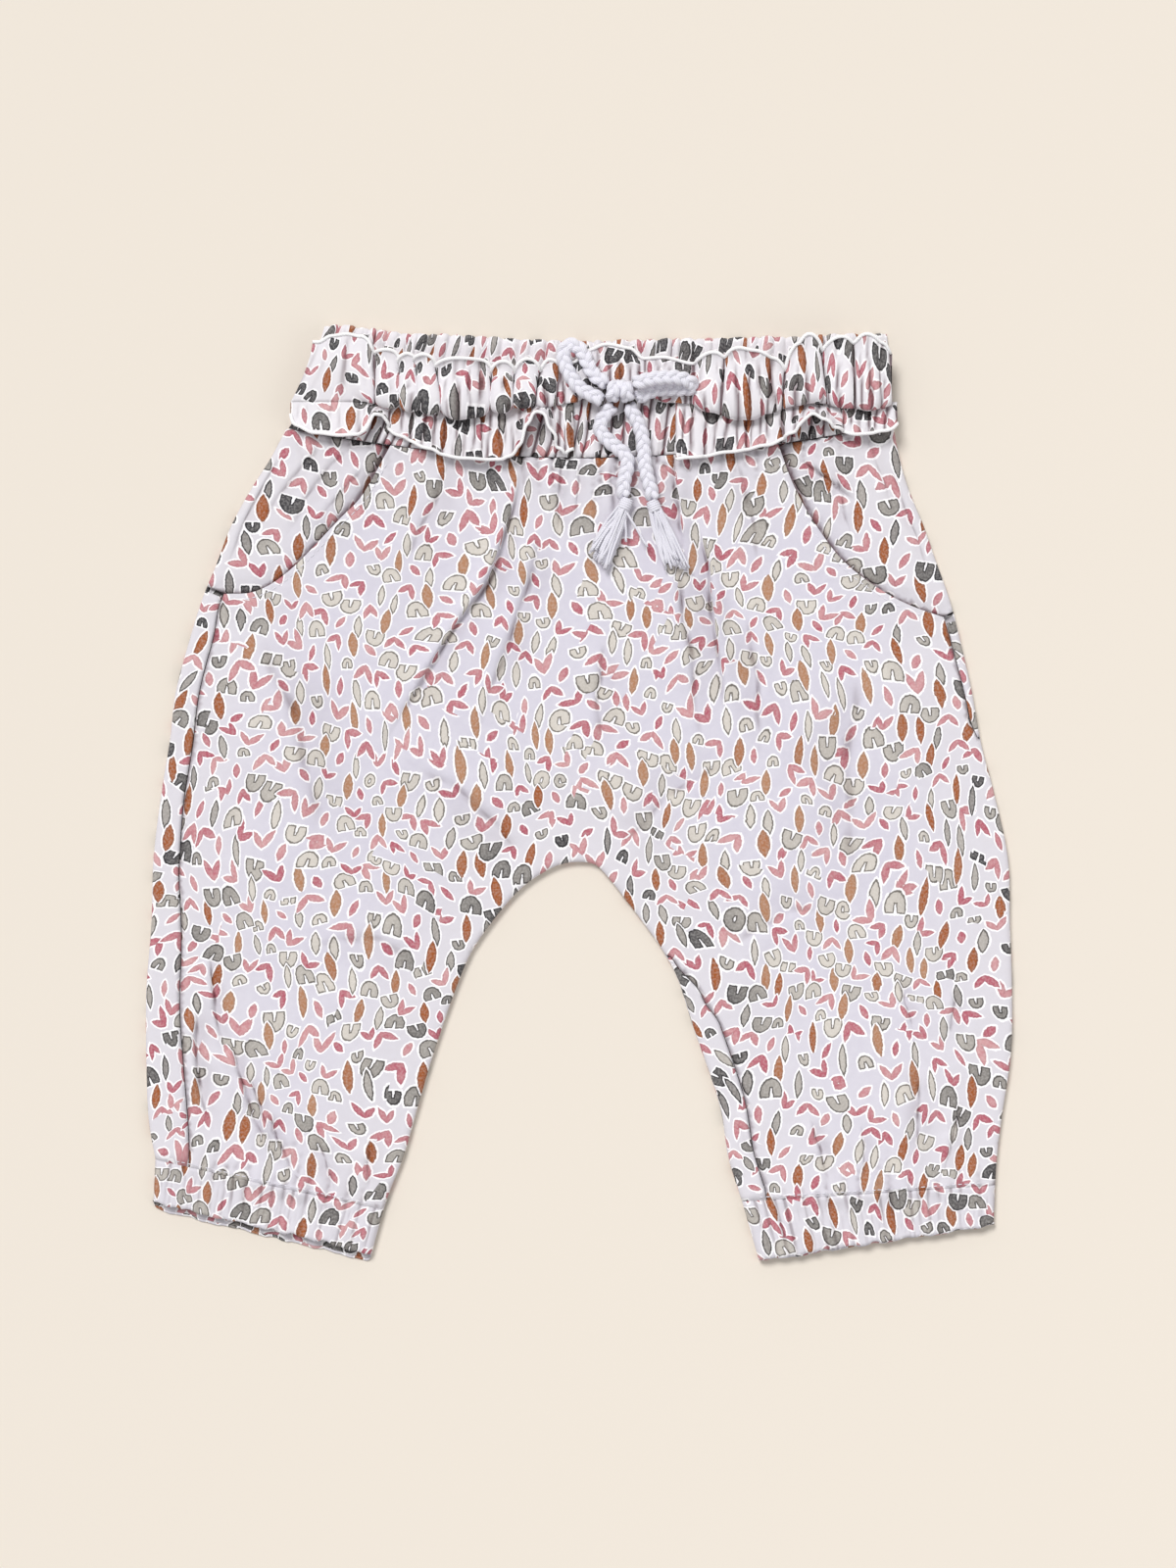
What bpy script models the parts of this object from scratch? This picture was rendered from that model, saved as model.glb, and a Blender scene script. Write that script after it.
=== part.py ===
"""Baby trousers of printed woven cotton, laid flat on their back.

The frame has +Y from the hems to the waist, +X to the right as seen from above and +Z up. Its origin lies on the
surface, under the middle of the outline. Sizes in the constants and tables are millimetres.
"""

import math

import bmesh
import bpy
import numpy as np
from mathutils import Matrix, Vector
from mathutils.geometry import delaunay_2d_cdt

MM = 0.001
ROOT, HELPERS = "baby_trousers", "helpers"

# Cloth and seams
WALL = 1.2
GAP = 0.3
EDGE_RADIUS = 2.0  # where cloth turns from the back to the front
MID = EDGE_RADIUS  # height of a side seam
LOW_RIM = 0.35 * EDGE_RADIUS  # the turn ends in an upright strip this high
TOP = 2 * EDGE_RADIUS  # height of the front just inside its edge
PUFF, PUFF_REACH = 0.9, 45.0  # how much the front rises away from its edges

# Sample distances
EDGE_STEP, CLOTH_STEP, BACK_STEP = 9.5, 13.0, 40.0
RING_INSETS = (0.3 * EDGE_RADIUS, EDGE_RADIUS)
GATHER_ROWS = (5.0, 10.0)

# Waist
WAIST_MIDDLE, WAIST_RISE, WAIST_HALF = 130.0, 12.0, 115.0  # the waist seam, which rises to the sides
BACK_BAND_TOPS = ((-96, 181.0), (-60, 177.5), (0, 174.8), (80, 176.6), (117, 178.0))
FRONT_BAND_TOPS = ((-100, 171.0), (-40, 164.0), (20, 163.0), (120, 169.0))
BACK_BAND_HEIGHT, FRONT_BAND_FLOOR, FRONT_BAND_HEIGHT = 2.1, 3.3, 5.3
BAND_WAVES, BAND_WAVE_HEIGHT, BAND_ROWS = 34, 0.75, 3
FRILL_ROOT, FRILL_FLOOR, HEADER_FLOOR = 151.5, 7.6, 8.4
FRILL_WALL = 1.1

# Hems
CUFF_WAVES, CUFF_WAVE_HEIGHT, CUFF_SCALLOP = 14, 1.0, 0.6
CUFF_WALL, CUFF_ROWS, CUFF_BACK_COLUMNS = 1.5, 3, 9
HEM_GATHER_HEIGHT, HEM_GATHER_REACH = 0.9, 14.0

# The silhouette's sides, from the waist's top to the hems
SIDES = (
    # y, left x, right x
    (182, -96, 117),
    (172, -100, 120),
    (160, -105, 120.5),
    (148, -110, 121),
    (142, -113.5, 121.5),
    (130, -119.9, 123.9),
    (118, -127.5, 127.5),
    (104, -135.1, 133.2),
    (90, -140.4, 138.1),
    (76, -146.1, 143.1),
    (60, -151.1, 147.3),
    (40, -156.4, 151.8),
    (20, -158.9, 155.4),
    (0, -162.1, 160.6),
    (-25, -165.1, 165.9),
    (-50, -165.9, 166.6),
    (-75, -167.8, 167.4),
    (-100, -167.9, 167.0),
    (-125, -167.0, 163.4),
    (-140, -164.4, 161.6),
    (-152, -164.8, 160.8),
    (-168, -165.6, 160.2),
)
# The legs' inner edges, from the crotch to the hems
INNER = (
    # y, left leg x, right leg x
    (-26.5, -5.5, 4.6),
    (-30.5, -14.8, 9.6),
    (-37.6, -24.1, 15.4),
    (-49, -33.8, 24.1),
    (-60.4, -41.6, 32.1),
    (-72, -46.8, 38.2),
    (-90, -53.2, 43.9),
    (-106, -58.4, 49.6),
    (-122, -63.0, 54.6),
    (-140, -68.2, 57.4),
    (-152, -73.0, 61.0),
    (-163, -76.8, 64.8),
    (-181, -81.5, 69.5),
)
# Where the back turns over to the front: y, distance from the silhouette to the seam on top
TURNS = {
    "left": ((79, 7.0), (60, 8.8), (35, 9.1), (0, 9.1), (-25, 10.2), (-72, 12.9), (-125, 15.2), (-160, 11.0)),
    "right": ((68, 3.8), (60, 3.6), (32, 2.8), (16, 0.0)),
    "inner": ((-58, 0.0), (-66, 1.6), (-80, 6.6), (-92, 10.0), (-125, 9.8), (-160, 9.9)),
}
TURN_TOPS = {"left": 79.0, "right": 68.0, "inner": -58.0}
LEAST_TURN = 0.8
STRIP_SHARES = (0.0, 0.08, 0.25, 0.6, 1.0)  # rows of the turned strip, as shares of its width

# Casing seams and hems, as y at the outer and inner side, and how far the back layer reaches past the front's hem
CASINGS = {
    "left": {"seam": (-141.0, -160.5), "hem": (-157.6, -177.9), "back_shows": 3.0},
    "right": {"seam": (-151.0, -157.2), "hem": (-166.4, -180.4), "back_shows": 0.6},
}
# Pocket openings, from the waist seam down
POCKETS = {
    "left": ((-73, 134.8), (-83.8, 115.9), (-92.2, 107.0), (-111.9, 86.8), (-125.2, 78.6), (-137.4, 77.6)),
    "right": ((76.6, 135.3), (82.7, 119.3), (91.0, 104.5), (102.0, 90.1), (116.5, 79.0), (128.0, 73.0), (140.6, 68.6)),
}
YOKE_UNDERLAP, YOKE_DROP, YOKE_DROP_REACH = 7.0, 0.9, 9.0
POCKET_LIFT, POCKET_LIFT_REACH = 0.5, 16.0

# The largest folds: a ridge with a trough along its right side
FRONT_FOLDS = (
    # start, middle and end points, ridge width, height
    ((-24.5, 128), (-37, 88), (-76, 16), 5.0, 2.6),
    ((36.5, 127), (38.5, 104), (40.5, 82), 4.0, 1.8),
    ((45.5, 106), (53.5, 66), (58.5, 16), 5.0, 2.6),
    ((38.0, 78), (41.5, 50), (44.5, 16), 5.0, 1.0),
    ((-17.5, 98), (-26, 68), (-40, 30), 5.0, 0.9),
    ((-147.0, -112), (-142, -127), (-137.0, -140), 3.5, 1.6),
    ((-127.0, -118), (-121, -133), (-115.5, -145), 3.5, 1.6),
    ((-117.0, -124), (-112.5, -137), (-107.0, -147), 3.0, 1.2),
    ((88.0, -122), (92.5, -136), (95.0, -149), 3.5, 1.1),
    ((126.0, -120), (124, -134), (119.0, -146), 3.5, 1.1),
)
YOKE_FOLDS = {
    "left": (((-96, 130), (-108, 118), (-118, 100), 3.5, 0.7),),
    "right": (((88, 129), (101, 119), (113, 101), 3.5, 1.0),),
}
TROUGH_SHIFT, TROUGH_WIDTH, TROUGH_DEPTH = 1.35, 0.55, 0.45  # of the ridge's width and height
# Gathers below the waist seam
WAIST_GATHERS = (
    # from x, to x, waves, height, reach down
    (-108, -76, 3, 0.5, 12),
    (-70, -30, 4, 0.6, 10),
    (-26, 42, 9, 1.2, 15),
    (46, 76, 4, 0.7, 12),
    (80, 117, 6, 1.0, 14),
)

# The header frill: one row for each bulge and each crease between bulges. A negative reach sets the root back.
HEADER_FRILL = (
    # x, top edge y, reach of the front roll past the root, height of the crest
    (-103, 175.5, 0.5, 1.4),
    (-98, 177.4, 0.5, 2.8),
    (-90, 178.0, 0.5, 3.6),
    (-82, 176.0, 1.0, 3.2),
    (-77, 171.5, 1.0, 0.8),
    (-73, 169.0, 3.5, 4.0),
    (-69, 167.5, 1.5, 0.8),
    (-65.5, 169.5, 4.5, 4.6),
    (-61.5, 168.5, 3.0, 1.6),
    (-57.5, 168.5, 5.5, 5.4),
    (-53.5, 166.5, 4.0, 1.6),
    (-47, 167.0, 7.5, 5.8),
    (-39, 166.5, 6.5, 4.4),
    (-34.5, 165.0, 3.0, 1.0),
    (-30, 166.0, 5.0, 4.6),
    (-26, 165.0, 2.5, 1.0),
    (-21.5, 167.0, 3.0, 4.0),
    (-17.5, 165.5, 1.5, 0.9),
    (-13.5, 167.0, 2.5, 2.2),
    (-9, 166.0, 1.5, 0.5),
    (-2, 166.5, 0.5, 0.6),
    (4, 171.0, -3.0, 0.6),
    (11.5, 173.5, -7.5, 0.9),
    (20, 172.0, -6.0, 0.6),
    (26, 169.0, -2.0, 0.5),
    (34, 168.5, 0.5, 0.5),
    (43, 167.0, 1.0, 0.5),
    (50, 169.5, 4.5, 4.2),
    (58, 171.0, 7.5, 5.6),
    (66, 170.5, 7.5, 5.6),
    (72, 168.5, 5.0, 3.6),
    (78, 166.0, 3.0, 0.9),
    (84, 173.0, 2.0, 3.4),
    (89.5, 176.5, 1.0, 4.6),
    (95, 173.5, 1.0, 1.2),
    (102, 175.5, 3.0, 4.2),
    (110, 177.0, 4.0, 4.6),
    (117, 174.5, 2.5, 2.8),
    (120.5, 171.0, 1.0, 1.0),
)
# The header's section: share of the reach, of the way from root to top edge, and of the crest
HEADER_SECTION = (
    (0.0, 0.0, 0.0),
    (0.8, 0.0, 0.3),
    (1.0, 0.02, 0.72),
    (0.3, 0.14, 1.0),
    (0.0, 0.62, 0.86),
    (0.0, 1.0, 0.2),
)
# The lower frills: one row for each wave and crease
LOWER_FRILLS = {
    "left": (
        # x, hem y, height of the hem over its lowest
        (-111.5, 147.0, 0.4),
        (-109.5, 142.6, 1.4),
        (-102, 139.6, 2.2),
        (-92, 138.6, 2.6),
        (-84.5, 139.0, 2.8),
        (-81.5, 139.4, 0.3),
        (-76, 137.6, 1.9),
        (-69.5, 137.4, 0.3),
        (-60, 133.6, 1.3),
        (-51, 130.4, 2.4),
        (-38, 129.2, 2.0),
        (-27, 129.4, 0.8),
        (-22.5, 132.5, 2.6),
        (-18, 143.0, 5.6),
        (-14, 142.0, 5.6),
        (-10, 134.0, 2.8),
        (-6, 131.6, 0.5),
        (-2.5, 133.5, 1.2),
    ),
    "right": (
        (37, 129.4, 1.2),
        (43, 130.2, 2.4),
        (50, 131.2, 0.7),
        (57.5, 132.2, 2.0),
        (65.5, 133.2, 0.7),
        (75, 135.8, 2.2),
        (81, 138.8, 0.9),
        (85.5, 143.4, 4.4),
        (90.5, 146.2, 5.6),
        (96, 143.4, 4.6),
        (101, 140.4, 0.8),
        (109.5, 139.4, 2.2),
        (117, 140.2, 1.2),
        (122.5, 143.4, 0.5),
    ),
}
LOWER_FRILL_SHARES, LOWER_FRILL_POWER = (0.0, 0.2, 0.5, 0.8, 1.0), 2.5
COLUMNS_BETWEEN_ROWS = 2

# The drawstring's four stretches, as points of their centre lines
CORD_RADIUS, CORD_STEP = 3.0, 4.0
CORDS = {
    "drawstring_loop_left": (
        (10.2, 158.3, 13.4), (6.2, 160.8, 13.0), (3.4, 165.0, 12.8), (1.6, 169.4, 12.6), (-1.4, 172.6, 12.4),
        (-5.0, 172.6, 12.4), (-6.4, 169.0, 12.5), (-5.2, 164.6, 12.7), (-3.0, 160.2, 12.9), (0.6, 156.0, 13.0),
        (8.2, 151.9, 13.4),
    ),
    "drawstring_loop_right": (
        (21.2, 157.7, 17.2), (27.6, 159.4, 18.2), (35.6, 160.0, 18.2), (41.2, 158.9, 17.0), (43.3, 157.2, 15.0),
        (41.0, 156.0, 12.8), (35.2, 156.2, 12.2), (29.0, 155.8, 12.2), (22.4, 152.8, 12.5),
    ),
    "drawstring_tail_left": (
        (12.2, 149.6, 10.6), (8.6, 144.6, 9.9), (8.0, 140.2, 9.8), (12.0, 135.6, 9.8), (17.2, 131.4, 9.8),
        (18.4, 127.2, 9.8), (17.4, 122.6, 9.7), (16.8, 118.6, 9.5), (17.2, 115.2, 9.2),
    ),
    "drawstring_tail_right": (
        (18.9, 149.6, 10.6), (22.4, 143.4, 9.9), (24.2, 137.6, 9.8), (24.8, 131.4, 9.8), (25.2, 126.6, 9.8),
        (26.2, 121.8, 9.7), (27.4, 117.8, 9.5), (28.2, 114.4, 9.2),
    ),
}
KNOT = ((15.5, 155.2, 13.2), (5.4, 4.8, 5.0))  # centre and half sizes
TASSELS = {
    # head's centre, the fan's left and right ends, and the ends of loose strands
    "left": ((17.6, 111.9, 8.9), (3.6, 94.0), (10.6, 86.4), ((18.0, 97.5), (26.0, 95.6))),
    "right": ((28.6, 111.1, 8.9), (32.8, 87.0), (42.2, 87.6), ()),
}
TASSEL_HEAD, STRAND_RADIUS, STRANDS_ACROSS, STRAND_LAYERS = (3.3, 3.0, 3.0), 0.36, 7, 3
STRAND_SPACING, LAYER_SPACING, STRAND_END_HEIGHT = 0.86, 0.95, 7.2

FINISHES = {
    # linear red, green, blue and roughness
    "printed_cotton": ((0.74, 0.70, 0.80), 0.9),
    "cord_cotton": ((0.86, 0.86, 0.90), 0.85),
}


def smoothstep(value):
    share = np.clip(value, 0.0, 1.0)
    return share * share * (3 - 2 * share)


def curve_through(points, step):
    """Evenly spaced points on a smooth curve through the given ones."""
    knots = np.array(points, float)
    padded = np.vstack([2 * knots[0] - knots[1], knots, 2 * knots[-1] - knots[-2]])
    share = np.linspace(0, 1, 16, endpoint=False)[:, None]
    dense = []
    for before, start, end, after in zip(padded, padded[1:], padded[2:], padded[3:]):
        turn_in, turn_out = (end - before) / 2, (after - start) / 2
        cubic = 2 * start - 2 * end + turn_in + turn_out
        square = -3 * start + 3 * end - 2 * turn_in - turn_out
        dense.append(((cubic * share + square) * share + turn_in) * share + start)
    dense = np.vstack(dense + [knots[-1:]])
    along = np.concatenate([[0], np.cumsum(np.linalg.norm(np.diff(dense, axis=0), axis=1))])
    count = max(2, round(along[-1] / step))
    wanted = np.linspace(0, along[-1], count + 1)
    return np.stack([np.interp(wanted, along, column) for column in dense.T], axis=1)


def rows_at(table, x):
    """A table's other columns at x: each row is a local peak or dip, with an eased way between rows."""
    keys = np.array([row[0] for row in table], float)
    values = np.array([row[1:] for row in table], float)
    order = np.argsort(keys)
    keys, values = keys[order], values[order]
    x = np.clip(np.asarray(x, float), keys[0], keys[-1])
    index = np.clip(np.searchsorted(keys, x, side="right") - 1, 0, len(keys) - 2)
    share = smoothstep((x - keys[index]) / (keys[index + 1] - keys[index]))[..., None]
    return values[index] * (1 - share) + values[index + 1] * share


def side_x(y, side):
    dense = curve_through([(row[0], row[1 if side == "left" else 2]) for row in SIDES], 1.0)[::-1]
    return np.interp(y, dense[:, 0], dense[:, 1])


def waist_y(x):
    return WAIST_MIDDLE + WAIST_RISE * (np.asarray(x) / WAIST_HALF) ** 2


def inner_x(y, side):
    column = 1 if side == "left" else 2
    return np.interp(y, [row[0] for row in INNER[::-1]], [row[column] for row in INNER[::-1]])


def casing_ends(side, line):
    """Outer and inner end of a casing seam or hem, on the silhouette."""
    outer_y, inner_y = CASINGS[side][line]
    return np.array([(side_x(outer_y, side), outer_y), (inner_x(inner_y, side), inner_y)])


def inward(points):
    """Unit vectors to the left of the way along the points."""
    along = np.gradient(points, axis=0)
    along /= np.linalg.norm(along, axis=1)[:, None]
    return np.stack([-along[:, 1], along[:, 0]], axis=1)


def side_line(side):
    """One side from the waist seam to the casing seam."""
    top = float(waist_y(-113.6 if side == "left" else 121.5))
    rows = [row for row in SIDES if CASINGS[side]["seam"][0] + 4 < row[0] < top - 4]
    ys = [top] + [row[0] for row in rows] + [CASINGS[side]["seam"][0]]
    return curve_through([(side_x(y, side), y) for y in ys], EDGE_STEP)


def inner_line():
    """The inner edge from the left casing seam over the crotch to the right one."""
    left = [(row[1], row[0]) for row in INNER if row[0] > CASINGS["left"]["seam"][1] + 4]
    right = [(row[2], row[0]) for row in INNER if row[0] > CASINGS["right"]["seam"][1] + 4]
    ends = casing_ends("left", "seam")[1], casing_ends("right", "seam")[1]
    return curve_through([tuple(ends[0])] + left[::-1] + right + [tuple(ends[1])], EDGE_STEP)


LEFT = side_line("left")
INNER_EDGE = inner_line()
RIGHT = side_line("right")[::-1]
STRETCHES = {"left": LEFT, "inner": INNER_EDGE, "right": RIGHT}


def turn_widths(name):
    """How far the back turns over the front at each point of a stretch of the silhouette."""
    points = STRETCHES[name]
    widths = rows_at(TURNS[name], points[:, 1])[:, 0]
    there = (points[:, 1] <= TURN_TOPS[name]) & (widths >= LEAST_TURN)
    if name == "inner":
        there &= points[:, 0] > 0
    return np.where(there, widths, 0.0)


def nearest(x, y, line):
    """Distance from points to a line, signed positive on its left, and the share of its length."""
    points = np.stack([np.ravel(x), np.ravel(y)], axis=1)[:, None, :]
    starts, steps = line[:-1], np.diff(line, axis=0)
    lengths = np.linalg.norm(steps, axis=1)
    share = np.clip(((points - starts) * steps).sum(2) / lengths**2, 0, 1)
    away = points - (starts + share[..., None] * steps)
    distance = np.linalg.norm(away, axis=2)
    best = distance.argmin(1)
    pick = np.arange(len(best))
    cross = steps[best, 0] * away[pick, best, 1] - steps[best, 1] * away[pick, best, 0]
    along = (np.concatenate([[0], np.cumsum(lengths)])[best] + share[pick, best] * lengths[best]) / lengths.sum()
    return distance[pick, best] * np.where(cross < 0, -1, 1), along


def edge_distance(x, y):
    return np.min([np.abs(nearest(x, y, line)[0]) for line in STRETCHES.values()], axis=0)


def edge_rise(distance):
    """Height of the rounded turn above or below the side seam."""
    inset = EDGE_RADIUS - np.clip(distance, 0, EDGE_RADIUS)
    return np.maximum(np.sqrt(EDGE_RADIUS**2 - inset**2), LOW_RIM)


def fold_line(fold):
    return curve_through(fold[:3], 6.0)


def fold_heights(folds, x, y):
    total = np.zeros(np.size(x))
    for fold in folds:
        width, height = fold[3:]
        off, along = nearest(x, y, fold_line(fold))
        fade = smoothstep(along / 0.3) * smoothstep((1 - along) / 0.55)
        ridge = np.exp(-((off / width) ** 2))
        trough = np.exp(-(((off - TROUGH_SHIFT * width) / (TROUGH_WIDTH * width)) ** 2))
        ends = (along > 0) & (along < 1)
        past = np.where(ends, 1.0, np.exp(-((np.abs(off) / width) ** 2)))
        total += height * fade * past * (ridge - TROUGH_DEPTH * trough)
    return total


def waist_gathers(x, y):
    total = np.zeros(np.size(x))
    below = waist_y(x) - y
    for start, end, waves, height, reach in WAIST_GATHERS:
        there = (x >= start) & (x <= end)
        wave = 0.5 - 0.5 * np.cos(2 * np.pi * waves * (x - start) / (end - start))
        total += np.where(there, height * wave * (1 - smoothstep(below / reach)), 0)
    return total


def hem_gathers(x, y):
    total = np.zeros(np.size(x))
    for side in CASINGS:
        outer, inner = casing_ends(side, "seam")
        share = (x - outer[0]) / (inner[0] - outer[0])
        above = y - (outer[1] + share * (inner[1] - outer[1]))
        wave = 0.5 - 0.5 * np.cos(2 * np.pi * CUFF_WAVES * share)
        there = (share > 0) & (share < 1)
        total += np.where(there, HEM_GATHER_HEIGHT * wave * (1 - smoothstep(above / HEM_GATHER_REACH)), 0)
    return total


def pocket_line(side):
    return curve_through(POCKETS[side], 7.0)


def front_height(x, y):
    """Height of the front's outer face."""
    distance = edge_distance(x, y)
    inside = smoothstep(distance / (2 * EDGE_RADIUS))
    puff = PUFF * smoothstep(distance / PUFF_REACH)
    lift = np.zeros(np.size(x))
    for side in POCKETS:
        off, _ = nearest(x, y, pocket_line(side))
        lift += POCKET_LIFT * (1 - smoothstep(np.abs(off) / POCKET_LIFT_REACH))
    folds = fold_heights(FRONT_FOLDS, x, y)
    return MID + edge_rise(distance) + puff + inside * (folds + lift + waist_gathers(x, y) + hem_gathers(x, y))


def back_height(x, y):
    """Height of the back's outer face, which lies on the surface."""
    return MID - edge_rise(edge_distance(x, y))


def yoke_height(side):
    sign = -1 if side == "left" else 1
    line = pocket_line(side)

    def height(x, y):
        off, _ = nearest(x, y, line)
        distance = edge_distance(x, y)
        drop = YOKE_DROP * (1 - smoothstep(sign * off / YOKE_DROP_REACH)) * smoothstep(distance / EDGE_RADIUS)
        inside = smoothstep(distance / (2 * EDGE_RADIUS)) * smoothstep(sign * off / YOKE_DROP_REACH)
        wrinkles = fold_heights(YOKE_FOLDS[side], x, y) + 0.6 * waist_gathers(x, y)
        return MID + edge_rise(distance) - drop + inside * np.maximum(wrinkles, 0)

    return height


def inside_loop(points, loop):
    """Which points lie inside a closed loop."""
    x, y = points[:, :1], points[:, 1:]
    x0, y0 = loop[:, 0], loop[:, 1]
    x1, y1 = np.roll(x0, -1), np.roll(y0, -1)
    crosses = (y0 > y) != (y1 > y)
    with np.errstate(divide="ignore", invalid="ignore"):
        left_of = x < (x1 - x0) * (y - y0) / (y1 - y0) + x0
    return (crosses & left_of).sum(1) % 2 == 1


def fill_points(loop, special, step):
    """Points of a triangular net inside a loop, clear of its edge and of the special points."""
    low, high = loop.min(0), loop.max(0)
    rows = np.arange(low[1], high[1], step * math.sqrt(3) / 2)
    net = [
        (x, y)
        for index, y in enumerate(rows)
        for x in np.arange(low[0] + (index % 2) * step / 2, high[0], step)
    ]
    net = np.array(net)
    net = net[inside_loop(net, loop)]
    closed = np.vstack([loop, loop[:1]])
    net = net[np.abs(nearest(net[:, 0], net[:, 1], closed)[0]) > 0.45 * step]
    if len(special):
        gaps = np.linalg.norm(net[:, None, :] - special[None, :, :], axis=2).min(1)
        net = net[gaps > 0.55 * step]
    return net


def tidy_special(special, loop):
    """Special points that lie inside the loop and clear of its edge and of each other."""
    special = special[inside_loop(special, loop)]
    closed = np.vstack([loop, loop[:1]])
    special = special[np.abs(nearest(special[:, 0], special[:, 1], closed)[0]) > 0.25 * EDGE_RADIUS]
    kept = []
    for point in special:
        if all(abs(point[0] - other[0]) + abs(point[1] - other[1]) > 1.6 for other in kept[-400:]):
            kept.append(point)
    return np.array(kept)


def new_material(name, finish):
    colour, roughness = FINISHES[finish]
    material = bpy.data.materials.new(f"{name}_{finish}")
    material.use_nodes = True
    shader = material.node_tree.nodes["Principled BSDF"]
    shader.inputs["Base Color"].default_value = (*colour, 1.0)
    shader.inputs["Roughness"].default_value = roughness
    shader.inputs["Metallic"].default_value = 0.0
    return material


def new_part(name, data, finish):
    """An object among the trousers' parts, with its own material."""
    part = bpy.data.objects.new(name, data)
    data.materials.append(new_material(name, finish))
    part.parent = bpy.data.objects[ROOT]
    bpy.data.collections[ROOT].objects.link(part)
    return part


def cloth_object(name, vertices, faces):
    mesh = bpy.data.meshes.new(name)
    mesh.from_pydata([tuple(MM * c for c in vertex) for vertex in vertices], [], faces)
    mesh.shade_smooth()
    return new_part(name, mesh, "printed_cotton")


def add_wall(part, thickness):
    wall = part.modifiers.new("wall", "SOLIDIFY")
    wall.thickness = thickness * MM
    wall.offset = -1.0
    wall.show_render = wall.show_viewport


def cloth_panel(name, loop, upright, special, step, height, faces_up, strips=()):
    """A piece of cloth: its outline filled with triangles at their heights, with upright strips at its turns.

    upright marks the loop's points where the cloth turns down, or up on a piece that faces down, to the side
    seam. Each strip carries on from there, over to the front.
    """
    special = tidy_special(special, loop) if len(special) else special
    net = fill_points(loop, special, step)
    flat = np.vstack([loop] + [part for part in (special, net) if len(part)])
    outline = [list(range(len(loop)))]
    spots, _, triangles, origins, _, _ = delaunay_2d_cdt([Vector(p) for p in flat], [], outline, 1, 1e-6)
    spots = np.array([tuple(p) for p in spots])
    z = height(spots[:, 0], spots[:, 1])
    vertices = [(x, y, h) for (x, y), h in zip(spots, z)]
    place = {origin: index for index, known in enumerate(origins) for origin in known}
    faces = [tuple(face) if faces_up else tuple(face[::-1]) for face in triangles]
    rim = MID + GAP / 2 if faces_up else MID - GAP / 2
    ends = {}
    for index in np.flatnonzero(upright):
        ends[index] = len(vertices)
        vertices.append((*loop[index], rim))
    for index in ends:
        following = (index + 1) % len(loop)
        if following in ends:
            low, high = (ends, place) if faces_up else (place, ends)
            faces.append((low[index], low[following], high[following], high[index]))
    for first, rows in strips:
        under = [ends[first + offset] for offset in range(len(rows[0]))]
        for row in rows:
            over = list(range(len(vertices), len(vertices) + len(row)))
            vertices += [tuple(point) for point in row]
            faces += [(a, b, d, c) for a, b, c, d in zip(under, under[1:], over, over[1:])]
            under = over
    add_wall(cloth_object(name, vertices, faces), WALL)


def grid_faces(rows, columns, closed=False):
    faces = []
    for row in range(rows - 1):
        for column in range(columns if closed else columns - 1):
            following = (column + 1) % columns
            low, high = row * columns, (row + 1) * columns
            faces.append((low + column, low + following, high + following, high + column))
    return faces


def casing_samples(side):
    outer, inner = casing_ends(side, "seam")
    shares = np.linspace(0, 1, 2 * CUFF_WAVES + 1)[1:-1, None]
    points = outer + shares * (inner - outer)
    return points if side == "left" else points[::-1]


def waist_samples(low, high):
    """Points of the waist seam from high x to low x, on the crests and dips of its gathers."""
    xs = [low, high]
    for start, end, waves, _, _ in WAIST_GATHERS:
        xs += list(np.linspace(start, end, 2 * waves + 1))
    xs = sorted(x for x in xs if low <= x <= high)
    xs = [x for x, before in zip(xs, [-999] + xs) if x - before > 1.5]
    return np.array([(x, waist_y(x)) for x in xs[::-1]])


def gather_rows():
    """Points on the crests and dips of the gathers, some way from the seams."""
    waist = waist_samples(-112, 120)
    points = [waist - (0, reach) for reach in GATHER_ROWS]
    for side in CASINGS:
        points += [casing_samples(side) + (0, reach) for reach in GATHER_ROWS]
    return np.vstack(points)


def ring_points():
    points = []
    for name, line in STRETCHES.items():
        normals = inward(line)
        points += [(line + normals * inset)[1:-1] for inset in RING_INSETS]
    return np.vstack(points)


def fold_points(folds):
    points = [np.empty((0, 2))]
    for fold in folds:
        line = fold_line(fold)
        normals = inward(line)
        for share in (-1.5, -0.7, 0.0, 0.7, TROUGH_SHIFT, 2.1):
            points.append(line + normals * share * fold[3])
    return np.vstack(points)


def on_casing(point, side):
    """The point moved up or down onto the casing seam."""
    outer, inner = casing_ends(side, "seam")
    share = (point[0] - outer[0]) / (inner[0] - outer[0])
    return np.array([point[0], outer[1] + share * (inner[1] - outer[1])])


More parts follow.
